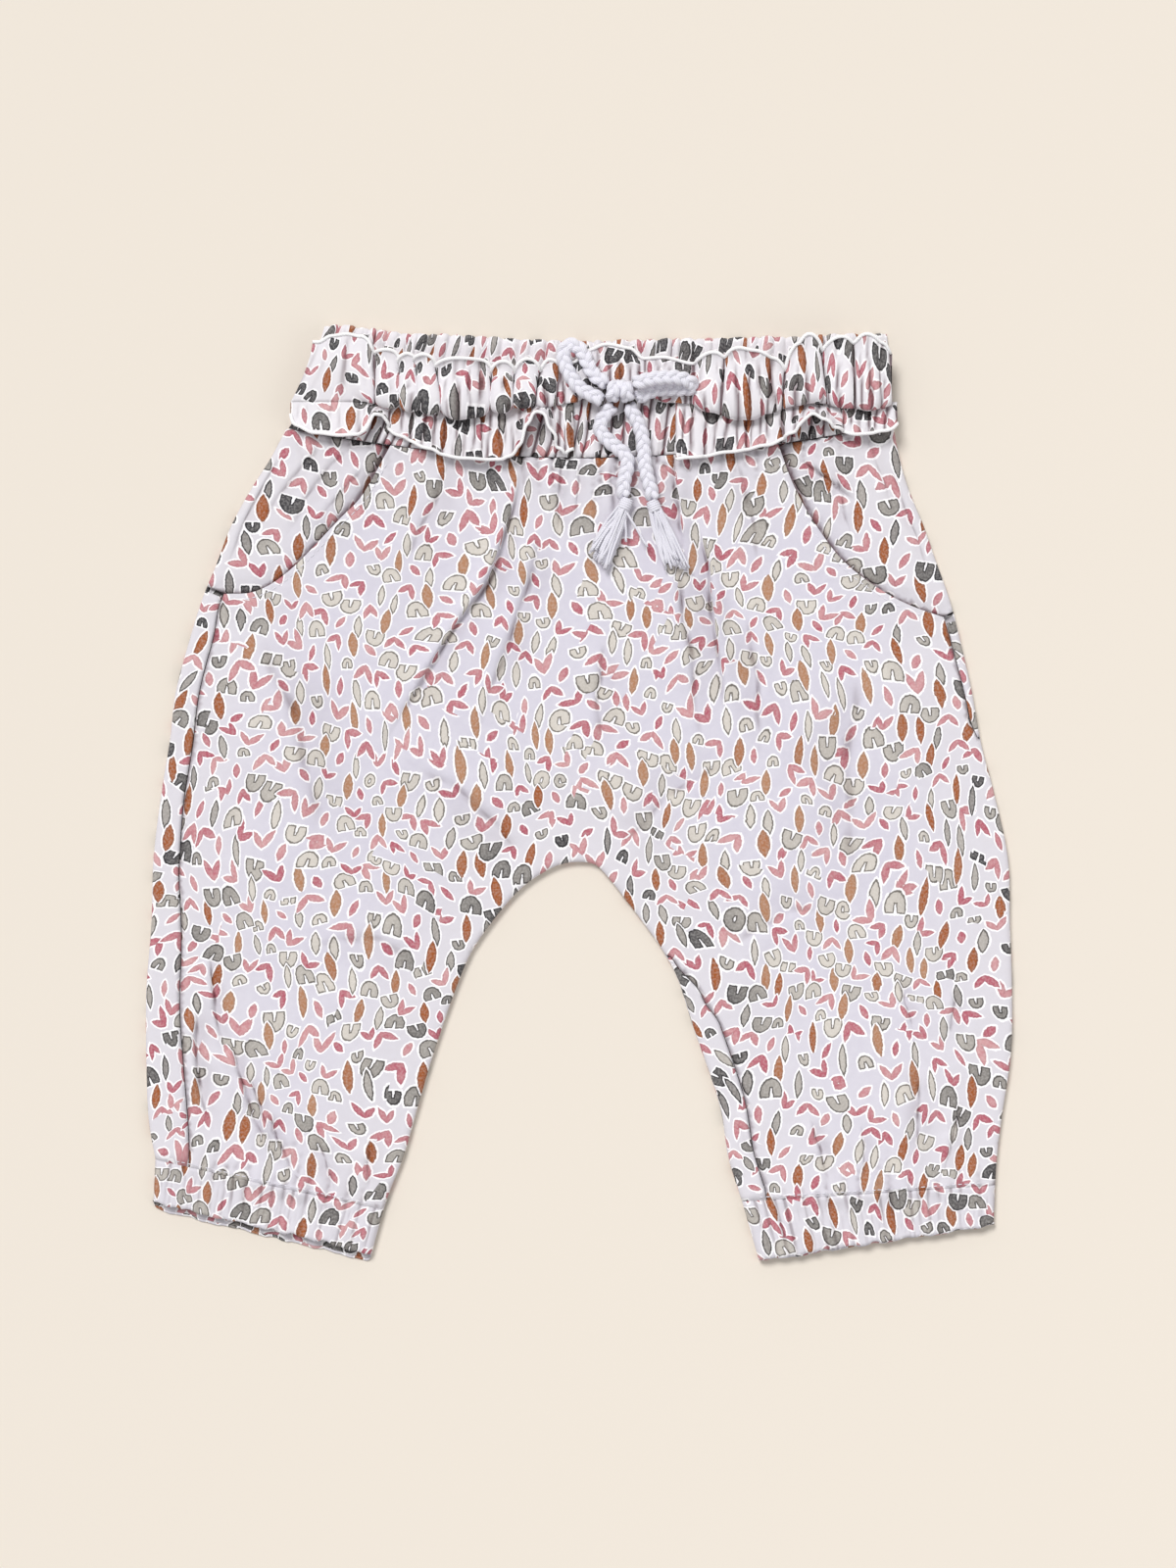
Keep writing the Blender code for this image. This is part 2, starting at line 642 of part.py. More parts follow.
def front_panel():
    loop, upright = [], []

    def add(points, turned_down):
        loop.extend(points)
        upright.extend(turned_down)

    for name, line in STRETCHES.items():
        widths = turn_widths(name)
        turned = widths > 0
        seam = line + inward(line) * np.where(turned, widths + GAP, 0)[:, None]
        if name == "left":
            keep = line[:, 1] < TURN_TOPS["left"] - 3
            seam, turned = seam[keep], turned[keep]
            seam[-1] = on_casing(seam[-1], "left")
            add(seam, ~turned)
            hem = casing_samples("left")
            add(hem[hem[:, 0] > seam[-1][0] + 1.5], [False] * int((hem[:, 0] > seam[-1][0] + 1.5).sum()))
        elif name == "inner":
            seam[-1] = on_casing(seam[-1], "right")
            add(seam, ~turned)
            hem = casing_samples("right")
            keep = hem[:, 0] > seam[-1][0] + 1.5
            add(hem[keep], [False] * int(keep.sum()))
        else:
            keep = line[:, 1] < TURN_TOPS["right"] - 3
            add(seam[keep], ~turned[keep])
    right_pocket, left_pocket = pocket_line("right")[::-1], pocket_line("left")
    add(right_pocket, [False] * len(right_pocket))
    waist = waist_samples(left_pocket[0][0] + 2, right_pocket[-1][0] - 2)
    add(waist, [False] * len(waist))
    add(left_pocket, [False] * len(left_pocket))
    special = np.vstack([fold_points(FRONT_FOLDS), gather_rows(), ring_points()])
    cloth_panel("front_panel", np.array(loop), np.array(upright), special, CLOTH_STEP, front_height, faces_up=True)


def turned_strips(loop_start):
    """Rows of points for each stretch where the back turns over to the front."""
    strips = []
    for name, line in STRETCHES.items():
        widths = turn_widths(name)
        normals = inward(line)
        index = np.flatnonzero(widths > 0)
        first, last = index[0], index[-1] + 1
        rows = []
        for share in STRIP_SHARES:
            spots = line[first:last] + normals[first:last] * (share * widths[first:last])[:, None]
            if name != "right" and share > 0:
                spots[-1] = on_casing(spots[-1], "left" if name == "left" else "right")
            rows.append(np.column_stack([spots, front_height(spots[:, 0], spots[:, 1])]))
        strips.append((loop_start[name] + first, rows))
    return strips


def back_panel():
    loop, upright, loop_start = [], [], {}
    for name, line in STRETCHES.items():
        loop_start[name] = len(loop)
        loop.extend(line)
        upright.extend([True] * len(line))
        if name != "right":
            hem = casing_samples("left" if name == "left" else "right")[1::3]
            loop.extend(hem)
            upright.extend([False] * len(hem))
    waist = waist_samples(LEFT[0][0] + 3, RIGHT[-1][0] - 3)[1:-1:3]
    loop.extend(waist)
    upright.extend([False] * len(waist))
    cloth_panel(
        "back_panel", np.array(loop), np.array(upright), ring_points(), BACK_STEP, back_height,
        faces_up=False, strips=turned_strips(loop_start),
    )


def pocket_yoke(side):
    """The hip piece outside the pocket opening, which reaches in under the front's edge."""
    line = pocket_line(side)
    share = np.linspace(0, 1, len(line))
    under = (YOKE_UNDERLAP + 2 * GAP) * (1 - smoothstep((share - 0.55) / 0.45)) - GAP
    toward_front = inward(line) * (1 if side == "left" else -1)
    inner = line + toward_front * under[:, None]
    inner[0] = (inner[0][0], waist_y(inner[0][0]))
    sides = LEFT if side == "left" else RIGHT
    outer = sides[sides[:, 1] > TURN_TOPS[side] + 2.5]
    waist = waist_samples(-112, 120)
    if side == "left":
        waist = waist[waist[:, 0] < inner[0][0] - 2]
        parts = (outer, True), (inner[::-1], False), (waist, False)
    else:
        waist = waist[waist[:, 0] > inner[0][0] + 2]
        parts = (inner, False), (outer, True), (waist, False)
    loop = np.vstack([points for points, _ in parts])
    upright = np.concatenate([[turned] * len(points) for points, turned in parts])
    special = np.vstack([ring_points(), line[1:-1] - toward_front[1:-1] * 0.4 * YOKE_DROP_REACH])
    special = np.vstack([special, fold_points(YOKE_FOLDS[side])])
    cloth_panel(f"pocket_yoke_{side}", loop, upright, special, CLOTH_STEP, yoke_height(side), faces_up=True)


def waistband(name, tops, floor, height):
    """A gathered casing: a plain underside, with the gathers raised on its outer face."""
    shares = np.linspace(0, 1, 2 * BAND_WAVES + 1)
    low_y = 142.0
    vertices = []
    rows = BAND_ROWS + 1
    for row in range(rows):
        share = row / BAND_ROWS
        left, right = side_x(low_y + share * 30, "left"), side_x(low_y + share * 30, "right")
        x = left + 1.0 + shares * (right - left - 2.0)
        bottom = waist_y(x) + GAP
        top = rows_at(tops, x)[:, 0]
        y = bottom + share * (top - bottom)
        vertices.append(np.column_stack([x, y]))
    plan = np.vstack(vertices)
    wave = np.tile(0.5 - 0.5 * np.cos(2 * np.pi * BAND_WAVES * shares), rows)
    uneven = 0.7 + 0.3 * np.sin(9.0 * plan[:, 0] / 40.0) * np.cos(plan[:, 0] / 13.0)
    ends = smoothstep(np.minimum(plan[:, 0] - plan[:, 0].min(), plan[:, 0].max() - plan[:, 0]) / 6.0)
    upper = height + BAND_WAVE_HEIGHT * wave * uneven - 0.6 * (1 - ends)
    part = cloth_object(name, [(x, y, floor) for x, y in plan], grid_faces(rows, len(shares)))
    raise_top(part, plan, upper)


def raise_top(part, plan, upper):
    """Makes a flat sheet a solid whose upper points stand at their own heights."""
    shape = bmesh.new()
    shape.from_mesh(part.data)
    heights = {(round(x, 4), round(y, 4)): z for (x, y), z in zip(plan, upper)}
    region = bmesh.ops.extrude_face_region(shape, geom=shape.faces[:])
    for item in region["geom"]:
        if isinstance(item, bmesh.types.BMVert):
            key = min(heights, key=lambda spot: abs(spot[0] - item.co.x / MM) + abs(spot[1] - item.co.y / MM))
            item.co.z = heights[key] * MM
    bmesh.ops.recalc_face_normals(shape, faces=shape.faces[:])
    shape.to_mesh(part.data)
    shape.free()


def frill_columns(table):
    """x of each column of a frill: on the table's rows and between them."""
    keys = [row[0] for row in table]
    xs = [keys[0]]
    for start, end in zip(keys, keys[1:]):
        xs += [start + (end - start) * part / COLUMNS_BETWEEN_ROWS for part in range(1, COLUMNS_BETWEEN_ROWS + 1)]
    return np.array(xs)


def header_frill():
    x = frill_columns(HEADER_FRILL)
    top, reach, crest = rows_at(HEADER_FRILL, x).T
    root = FRILL_ROOT + np.maximum(-reach, 0)
    reach = np.maximum(reach, 0)
    vertices = []
    for reach_share, way, crest_share in HEADER_SECTION:
        y = root - reach_share * reach + way * (top - root)
        z = HEADER_FLOOR + crest_share * crest
        vertices += list(zip(x, y, z))
    part = cloth_object("header_frill", vertices, grid_faces(len(HEADER_SECTION), len(x)))
    add_wall(part, FRILL_WALL)


def lower_frill(side):
    table = LOWER_FRILLS[side]
    x = frill_columns(table)
    hem, rise = rows_at(table, x).T
    vertices = []
    for share in LOWER_FRILL_SHARES[::-1]:
        y = FRILL_ROOT + share * (hem - FRILL_ROOT)
        z = FRILL_FLOOR + rise * share**LOWER_FRILL_POWER
        vertices += list(zip(x, y, z))
    part = cloth_object(f"lower_frill_{side}", vertices, grid_faces(len(LOWER_FRILL_SHARES), len(x)))
    add_wall(part, FRILL_WALL)


def cuff_ring(outer, inner, wave_height, back_drop):
    """One turn round a flattened cuff, over the top from its outer to its inner side and back underneath."""
    length = np.linalg.norm(inner - outer)
    way = (inner - outer) / length
    near, far = EDGE_RADIUS, length - EDGE_RADIUS
    lean = 0.72 * EDGE_RADIUS
    top = np.linspace(near, far, 2 * CUFF_WAVES + 1)
    bottom = np.linspace(far, near, CUFF_BACK_COLUMNS)
    wave = wave_height * (0.5 - 0.5 * np.cos(np.pi * np.arange(len(top))))
    turn = 0.3 * EDGE_RADIUS
    along = np.concatenate([[0, turn], top, [length - turn, length, length - turn], bottom, [turn]])
    z = np.concatenate([[MID, MID + lean], TOP + wave, [MID + lean, MID, MID - lean], 0 * bottom, [MID - lean]])
    spots = outer + along[:, None] * way
    under = np.clip((MID - z) / MID, 0, 1)
    spots[:, 1] -= back_drop * under
    return np.column_stack([spots, z])


def cuff(side):
    seam, hem = casing_ends(side, "seam"), casing_ends(side, "hem")
    seam = seam - (0, GAP)
    rings = []
    for row in range(CUFF_ROWS + 1):
        share = row / CUFF_ROWS
        outer, inner = seam + share * (hem - seam)
        drop = CASINGS[side]["back_shows"] * share
        rings.append(cuff_ring(outer, inner, CUFF_WAVE_HEIGHT, drop))
    rings[-1][2 : 2 * CUFF_WAVES + 3 : 2, 1] += CUFF_SCALLOP
    if side == "left":
        rings = rings[::-1]
    faces = grid_faces(len(rings), len(rings[0]), closed=True)
    add_wall(cloth_object(f"cuff_{side}", [spot for ring in rings for spot in ring], faces), CUFF_WALL)


def tube(name, lines, radius, resolution):
    curve = bpy.data.curves.new(name, "CURVE")
    curve.dimensions = "3D"
    curve.bevel_depth = radius * MM
    curve.bevel_resolution = resolution
    curve.use_fill_caps = True
    for line in lines:
        spline = curve.splines.new("POLY")
        spline.points.add(len(line) - 1)
        for point, spot in zip(spline.points, line):
            point.co = (*(MM * c for c in spot), 1.0)
    return new_part(name, curve, "cord_cotton")


def ball(name, centre, halves, segments=12, rings=8):
    shape = bmesh.new()
    size = Matrix.Diagonal((*(MM * half for half in halves), 1.0))
    bmesh.ops.create_uvsphere(shape, u_segments=segments, v_segments=rings, radius=1.0, matrix=size)
    mesh = bpy.data.meshes.new(name)
    shape.to_mesh(mesh)
    shape.free()
    mesh.shade_smooth()
    part = new_part(name, mesh, "cord_cotton")
    part.location = [MM * c for c in centre]
    return part


def strand_lines(side):
    """Centre lines of a tassel's strands, in layers that fan out from the head."""
    head, left_end, right_end, loose = TASSELS[side]
    head, left_end, right_end = np.array(head), np.array(left_end), np.array(right_end)
    down = (left_end + right_end) / 2 - head[:2]
    down /= np.linalg.norm(down)
    across = np.array([-down[1], down[0]])
    if across[0] < 0:
        across = -across
    lines = []
    for layer in range(STRAND_LAYERS):
        for index in range(STRANDS_ACROSS):
            share = index / (STRANDS_ACROSS - 1)
            offset = (index - (STRANDS_ACROSS - 1) / 2) * STRAND_SPACING
            start = head[:2] + across * offset + down * 0.8
            end = left_end + share * (right_end - left_end)
            end = end - down * (0.9 * ((2 * index + layer) % 3))
            z0 = head[2] + (layer - 1) * LAYER_SPACING
            z1 = STRAND_END_HEIGHT + layer * LAYER_SPACING
            lines.append(strand_line(start, end, z0, z1, across * 0.5 * (share - 0.5)))
    for number, end in enumerate(loose):
        start = head[:2] + across * (0.9 + STRAND_SPACING * number) + down * 0.8
        z0 = head[2] + (STRAND_LAYERS - 1) * LAYER_SPACING
        z1 = STRAND_END_HEIGHT + STRAND_LAYERS * LAYER_SPACING
        lines.append(strand_line(start, np.array(end), z0, z1, across * 0.4))
    return lines


def strand_line(start, end, z0, z1, bulge):
    shares = np.array([0.0, 0.45, 1.0])
    plan = start + shares[:, None] * (end - start) + np.sin(np.pi * shares)[:, None] * bulge
    z = z1 + (z0 - z1) * (1 - shares) ** 1.5
    return np.column_stack([plan, z])


def as_mesh_object(part):
    """A curve object made a closed mesh, as a helper that isn't drawn."""
    evaluated = part.evaluated_get(bpy.context.evaluated_depsgraph_get())
    mesh = bpy.data.meshes.new_from_object(evaluated)
    shape = bmesh.new()
    shape.from_mesh(mesh)
    bmesh.ops.remove_doubles(shape, verts=shape.verts[:], dist=1e-6)
    bmesh.ops.recalc_face_normals(shape, faces=shape.faces[:])
    shape.to_mesh(mesh)
    shape.free()
    helper = bpy.data.objects.new(f"{part.name}_mesh", mesh)
    helper.matrix_world = part.matrix_world
    helper.hide_render = True
    helper.display_type = "WIRE"
    bpy.data.objects.remove(part)
    bpy.data.collections[HELPERS].objects.link(helper)
    return helper


def tassel(side):
    """A bound head with its strands fused into it."""
    head = ball(f"tassel_{side}", TASSELS[side][0], TASSEL_HEAD)
    union = head.modifiers.new("strands", "BOOLEAN")
    union.operation = "UNION"
    union.object = as_mesh_object(tube(f"strands_{side}", strand_lines(side), STRAND_RADIUS, 0))


def main():
    for leftover in list(bpy.data.objects):
        bpy.data.objects.remove(leftover)
    for name in (ROOT, HELPERS):
        bpy.context.scene.collection.children.link(bpy.data.collections.new(name))
    bpy.data.collections[HELPERS].hide_render = True
    bpy.data.collections[ROOT].objects.link(bpy.data.objects.new(ROOT, None))

    back_panel()
    front_panel()
    waistband("waistband_back", BACK_BAND_TOPS, 0.0, BACK_BAND_HEIGHT)
    waistband("waistband_front", FRONT_BAND_TOPS, FRONT_BAND_FLOOR, FRONT_BAND_HEIGHT)
    header_frill()
    for side in ("left", "right"):
        pocket_yoke(side)
        lower_frill(side)
        cuff(side)
    for name, route in CORDS.items():
        tube(name, [curve_through(route, CORD_STEP)], CORD_RADIUS, 2)
    ball("bow_knot", *KNOT)
    for side in TASSELS:
        tassel(side)


main()
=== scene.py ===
"""Looks of the baby trousers: printed cotton cloth, braided drawstring, tassels, floor, light and camera.

Sizes in the constants, tables and functions are millimetres, in the frame of the model. Objects are in metres.
"""

import math
from functools import partialmethod

import bpy
import numpy as np
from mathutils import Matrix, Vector
from mathutils.geometry import delaunay_2d_cdt


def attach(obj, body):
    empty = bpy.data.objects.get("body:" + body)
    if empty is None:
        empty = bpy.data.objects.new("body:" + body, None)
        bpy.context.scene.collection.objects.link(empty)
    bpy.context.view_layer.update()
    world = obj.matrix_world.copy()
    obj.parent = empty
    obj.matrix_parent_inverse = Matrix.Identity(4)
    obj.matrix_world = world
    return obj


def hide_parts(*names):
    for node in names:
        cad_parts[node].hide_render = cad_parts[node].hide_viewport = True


MM = 0.001

# Cloth and seams
WALL = 0.35
GAP = 0.3
EDGE_RADIUS = 2.0
MID = EDGE_RADIUS
PUFF, PUFF_REACH = 0.9, 45.0

# Sample distances
EDGE_STEP, CLOTH_STEP, UNDERSIDE_STEP = 1.9, 1.75, 4.5
CURVE_SAMPLES = 24  # between two given points of a curve
# Insets of the rows of points round the turn at the silhouette, and how many rows a strip has beyond them
TURN_INSETS = [EDGE_RADIUS * (1 - math.cos(math.radians(angle))) for angle in (30, 55, 90)]
STRIP_ROWS = 6

# Waist
WAIST_MIDDLE, WAIST_RISE, WAIST_HALF = 130.0, 12.0, 115.0
WAIST_ENDS = {"left": -113.6, "right": 121.5}
BACK_BAND_TOPS = ((-96, 181.0), (-60, 177.5), (0, 174.8), (80, 176.6), (117, 178.0))
FRONT_BAND_TOPS = ((-100, 171.0), (-40, 164.0), (20, 163.0), (120, 169.0))
BAND_LOW_Y, BAND_SLANT = 142.0, 30  # a band's ends follow the silhouette from here, over this height
BAND_COLUMNS = 380
# A band's underside and folded top edge: share of the way up it, and of its thickness
BAND_SECTION = [(0.0, 0.0), (0.5, 0.0), (0.96, 0.0), (1.0, 0.25), (1.008, 0.6), (0.995, 0.9)]
FRILL_ROOT, FRILL_FLOOR, HEADER_FLOOR = 151.5, 7.6, 8.4

SIDES = (
    # y, left x, right x
    (182, -96, 117), (172, -100, 120), (160, -105, 120.5), (148, -110, 121), (142, -113.5, 121.5),
    (130, -119.9, 123.9), (118, -127.5, 127.5), (104, -135.1, 133.2), (90, -140.4, 138.1), (76, -146.1, 143.1),
    (60, -151.1, 147.3), (40, -156.4, 151.8), (20, -158.9, 155.4), (0, -162.1, 160.6), (-25, -165.1, 165.9),
    (-50, -165.9, 166.6), (-75, -167.8, 167.4), (-100, -167.9, 167.0), (-125, -167.0, 163.4),
    (-140, -164.4, 161.6), (-152, -164.8, 160.8), (-168, -165.6, 160.2),
)
INNER = (
    # y, left leg x, right leg x
    (-26.5, -5.5, 4.6), (-30.5, -14.8, 9.6), (-37.6, -24.1, 15.4), (-49, -33.8, 24.1), (-60.4, -41.6, 32.1),
    (-72, -46.8, 38.2), (-90, -53.2, 43.9), (-106, -58.4, 49.6), (-122, -63.0, 54.6), (-140, -68.2, 57.4),
    (-152, -73.0, 61.0), (-163, -76.8, 64.8), (-181, -81.5, 69.5),
)
COLUMN = {"left": 1, "right": 2}  # of a side in the two tables
ROW_MARGIN = 4  # rows closer than this to a seam are left out
TURNS = {
    "left": ((79, 7.0), (60, 8.8), (35, 9.1), (0, 9.1), (-25, 10.2), (-72, 12.9), (-125, 15.2), (-160, 11.0)),
    "right": ((68, 3.8), (60, 3.6), (32, 2.8), (16, 0.0)),
    "inner": ((-58, 0.0), (-66, 1.6), (-80, 6.6), (-92, 10.0), (-125, 9.8), (-160, 9.9)),
}
TURN_TOPS = {"left": 79.0, "right": 68.0, "inner": -58.0}
LEAST_TURN = 0.8
NEXT_CASING = {"left": "left", "inner": "right"}  # the casing that comes after a stretch of the silhouette
CASINGS = {
    "left": {"seam": (-141.0, -160.5), "hem": (-157.6, -177.9), "back_shows": 3.0},
    "right": {"seam": (-151.0, -157.2), "hem": (-166.4, -180.4), "back_shows": 0.6},
}
POCKETS = {
    "left": ((-73, 134.8), (-83.8, 115.9), (-92.2, 107.0), (-111.9, 86.8), (-125.2, 78.6), (-137.4, 77.6)),
    "right": (
        (76.6, 135.3), (82.7, 119.3), (91.0, 104.5), (102.0, 90.1), (116.5, 79.0), (128.0, 73.0), (140.6, 68.6),
    ),
}
YOKE_UNDERLAP, YOKE_DROP, YOKE_DROP_REACH = 7.0, 1.1, 8.0
YOKE_PRINTS = {"left": (83, 217), "right": (-127, 331)}  # where each is cut from the print
POCKET_LIFT, POCKET_LIFT_REACH = 0.9, 14.0

# Creases: a ridge with a trough along one side, and the cloth that the trough hides
FRONT_CREASES = (
    # route, side of the trough (1 is left), ridge width, height, hidden cloth
    (((-24.5, 129), (-24.8, 122), (-26.8, 111), (-30.5, 100), (-34.0, 90), (-37.5, 82), (-44, 72.5),
      (-51, 62.7), (-64, 41.8), (-80, 14)), 1, 3.4, 3.0, 4.5),
    (((37.4, 129), (38.0, 119), (40.0, 104), (41.0, 92)), -1, 2.8, 2.4, 3.0),
    (((46.0, 106), (50.2, 91), (52.0, 76), (53.4, 62), (56.4, 43), (57.4, 24)), -1, 3.4, 2.9, 4.5),
    (((35.5, 94), (37.8, 71), (41.8, 48), (44.5, 14)), 1, 4.2, 1.3, 1.5),
    (((-17.5, 104), (-22.2, 81), (-33, 50), (-44, 20)), 1, 4.4, 1.2, 1.0),
    (((-8.0, 129), (-9.5, 112), (-9.0, 96)), 1, 2.2, 1.0, 0.0),
    (((-1.0, 129), (-1.5, 118), (-3.0, 104)), 1, 1.8, 0.9, 0.0),
    (((10.0, 129), (12.0, 108), (11.0, 84)), 1, 2.6, 0.8, 0.0),
    (((29.0, 129), (30.5, 116), (30.0, 98)), -1, 2.0, 0.9, 0.0),
    (((-52, 131), (-60, 110), (-74, 84)), 1, 4.0, 0.9, 0.0),
    (((62, 131), (68, 108), (72, 82)), -1, 3.6, 0.9, 0.0),
    (((-150.0, -82), (-149.0, -108), (-146, -122), (-142.0, -134)), 1, 2.8, 2.0, 1.6),
    (((-136.0, -96), (-130, -117), (-123.5, -133), (-118.0, -144)), 1, 2.8, 2.2, 2.0),
    (((-121.5, -122), (-117.0, -135), (-110.0, -148)), 1, 2.2, 1.8, 1.4),
    (((-100.0, -132), (-97, -142), (-93.0, -154)), -1, 2.2, 1.2, 0.0),
    (((-82.0, -132), (-83, -145), (-82.0, -156)), 1, 2.2, 1.0, 0.0),
    (((60.5, -122), (66, -138), (70.0, -150)), -1, 1.8, 1.4, 1.0),
    (((88.0, -126), (92.5, -140), (95.0, -152)), 1, 2.4, 1.4, 0.8),
    (((108.0, -128), (109, -140), (108.0, -152)), 1, 2.0, 1.0, 0.0),
    (((131.5, -104), (132, -124), (130.0, -148)), -1, 2.4, 1.4, 0.8),
    (((122.0, -72), (126.0, -84), (129.0, -94)), 1, 2.0, 1.1, 0.0),
    (((143.5, -74), (143.2, -84), (140.5, -96)), 1, 2.4, 1.0, 0.0),
    (((146.0, -118), (143, -133), (139.0, -149)), 1, 2.2, 1.2, 0.0),
    (((-144.0, -60), (-141.5, -86), (-137, -104)), 1, 2.2, 1.5, 0.8),
    (((-128.5, -108), (-124, -122), (-117.5, -136)), 1, 2.0, 1.5, 0.8),
    (((8.0, 60), (5.0, 38), (6.5, 12)), 1, 4.0, 1.0, 0.0),
    (((66.0, 70), (70.5, 44), (71.5, 10)), -1, 4.4, 1.1, 0.6),
    (((-128, 60), (-112, 20), (-104, -30)), 1, 9.0, 0.9, 0.0),
    (((112, 48), (108, 5), (112, -45)), -1, 9.0, 0.9, 0.0),
    (((-20, -22), (-42, 2), (-70, 18)), 1, 6.0, 0.8, 0.0),
    (((18, -22), (40, 0), (66, 12)), 1, 6.0, 0.8, 0.0),
    (((-62, -60), (-84, -52), (-110, -58)), 1, 6.0, 0.6, 0.0),
    (((60, -62), (82, -48), (110, -50)), 1, 6.0, 0.6, 0.0),
)
YOKE_CREASES = {
    "left": (
        (((-90, 136), (-104, 120), (-116, 98)), 1, 3.0, 0.8, 0.0),
        (((-100, 137), (-113, 122), (-126, 104)), 1, 2.6, 0.7, 0.0),
        (((-84, 128), (-97, 113), (-104, 104)), 1, 2.4, 0.6, 0.0),
        (((-116.0, 132), (-123.5, 119), (-130.3, 106), (-134.6, 94.5), (-138, 85)), 1, 1.5, 0.8, 0.8),
    ),
    "right": (
        (((85, 131), (94, 125), (101, 119.5), (109, 113)), -1, 2.6, 1.7, 1.2),
        (((100, 128), (102, 116), (103.5, 108), (106.5, 98)), -1, 2.0, 1.1, 0.6),
        (((110, 138), (116, 122), (122, 104)), 1, 2.4, 0.6, 0.0),
        (((120.5, 128), (122.9, 121), (127, 109.5), (131.6, 98), (137.2, 80)), -1, 1.5, 0.8, 0.8),
    ),
}
STEEP_WIDTH, TROUGH_WIDTH, TROUGH_DEPTH = 0.34, 1.2, 0.65  # of the ridge's width and height
CREASE_LINE = 0.5  # where the fold line lies, in ridge widths from the ridge
SLIP_REACH = 40  # how far from a crease its hidden cloth is made up for in the print
UNDULATION_INSET = 20
# Puckers below the waist seam, and above the casing seams by number, height and reach
WAIST_PUCKERS = (
    # from x, to x, count, height, reach
    (-112, -74, 8, 0.5, 14), (-74, -28, 10, 0.6, 14), (-28, 42, 15, 2.1, 30), (42, 78, 8, 1.0, 18),
    (78, 121, 12, 1.3, 20),
)
HEM_PUCKERS = {"left": (17, 1.3, 22), "right": (19, 1.2, 20)}

HEADER_FRILL = (
    # x, top edge y, reach of the front roll past the root, height of the crest
    (-103, 174.5, 0.0, 0.4), (-98, 176.8, 0.0, 0.8), (-90, 177.6, 0.0, 1.1), (-83, 176.4, 0.5, 2.2),
    (-78.5, 169.8, 1.0, 0.2), (-73, 171.0, 3.0, 4.6), (-69, 165.5, 1.5, 0.5), (-65.5, 169.5, 4.5, 4.6),
    (-61.5, 166.5, 3.0, 1.0), (-57.5, 169.0, 5.5, 5.6), (-53.5, 164.5, 4.0, 1.2), (-47, 167.5, 7.5, 6.0),
    (-39, 167.0, 6.5, 4.4), (-34.5, 162.0, 3.0, 0.6), (-30, 166.5, 5.0, 4.8), (-26, 162.0, 2.5, 0.6),
    (-21.5, 167.5, 3.0, 4.2), (-17.5, 163.0, 1.5, 0.5), (-13.5, 167.5, 2.5, 2.4), (-9, 165.0, 1.5, 0.4),
    (-2, 166.5, 0.5, 0.6), (4, 171.0, -3.0, 0.6), (11.5, 173.5, -7.5, 0.9), (20, 172.0, -6.0, 0.6),
    (26, 168.0, -2.0, 0.4), (34, 168.5, 0.5, 0.5), (43, 166.0, 1.0, 0.4), (50, 170.0, 4.5, 4.4),
    (54.5, 168.0, 5.5, 3.0), (60, 171.5, 7.5, 5.8), (66, 170.5, 7.5, 5.4), (72, 168.0, 5.0, 3.6),
    (78, 163.0, 3.0, 0.5), (84, 173.0, 2.0, 3.6), (89.5, 177.0, 1.0, 4.8), (95, 170.5, 1.0, 0.7),
    (102, 176.0, 3.0, 4.4), (106, 173.5, 3.0, 2.6), (111, 177.0, 4.0, 4.6), (117, 174.0, 2.5, 2.8),
    (120.5, 170.0, 1.0, 0.8),
)
HEADER_SECTION = (
    # share of the reach, of the way from root to top edge, and of the crest
    (0.0, 0.0, 0.0), (0.8, 0.0, 0.3), (1.0, 0.02, 0.72), (0.3, 0.14, 1.0), (0.0, 0.5, 0.8), (0.0, 0.8, 0.66),
    (0.0, 1.0, 0.86),
)
SECTION_SCALE = np.array([4.0, 16.0, 4.0])  # millimetres that the section's columns are spread over
HEADER_PRINT = (900, 40)
HEADER_END_FLARE = 8.5  # how far the smooth left end goes out at its root
LOWER_FRILLS = {
    "left": (
        # x, hem y, height of the hem over its lowest
        (-111.5, 147.0, 0.4), (-109.5, 142.6, 1.4), (-102, 139.6, 2.0), (-92, 138.6, 2.4), (-84.5, 138.9, 3.2),
        (-81.8, 140.6, 4.6), (-79.5, 146.4, 4.8), (-76.8, 146.2, 3.6), (-74.2, 141.8, 0.3), (-69.5, 138.6, 1.6),
        (-65.5, 136.6, 0.5), (-58, 133.6, 2.0), (-53.5, 131.4, 0.9), (-45, 129.8, 2.4), (-36, 129.3, 1.0),
        (-30, 129.4, 1.6), (-25.5, 130.8, 3.0), (-22.5, 134.6, 4.6), (-20, 142.4, 5.8), (-17, 147.4, 6.2),
        (-14.2, 147.0, 6.2), (-11.8, 141.4, 5.4), (-9.4, 134.4, 2.6), (-6, 131.6, 0.5), (-2.5, 133.5, 1.2),
    ),
    "right": (
        (37, 129.4, 2.4), (42, 130.0, 3.0), (48, 130.6, 0.9), (57.5, 132.2, 2.2), (64.5, 133.2, 0.7),
        (72, 134.8, 2.2), (79, 137.6, 1.0), (83.5, 139.8, 4.4), (85.8, 144.0, 5.8), (89.5, 146.6, 6.2),
        (93.5, 144.6, 5.8), (97.5, 141.6, 3.8), (101, 140.4, 0.8), (106, 139.0, 2.0), (112, 139.4, 1.4),
        (118, 140.4, 2.6), (122.5, 143.4, 0.5),
    ),
}
FRILL_STEP, FRILL_ROWS = 0.7, 20
LOBE_POWER, OVERHANG, LOBE_GAIN = 2.6, 0.5, 1.35
HEADER_SMOOTH = -84.0  # left of this x the frill lies smooth
HEM_RADIUS = 0.68
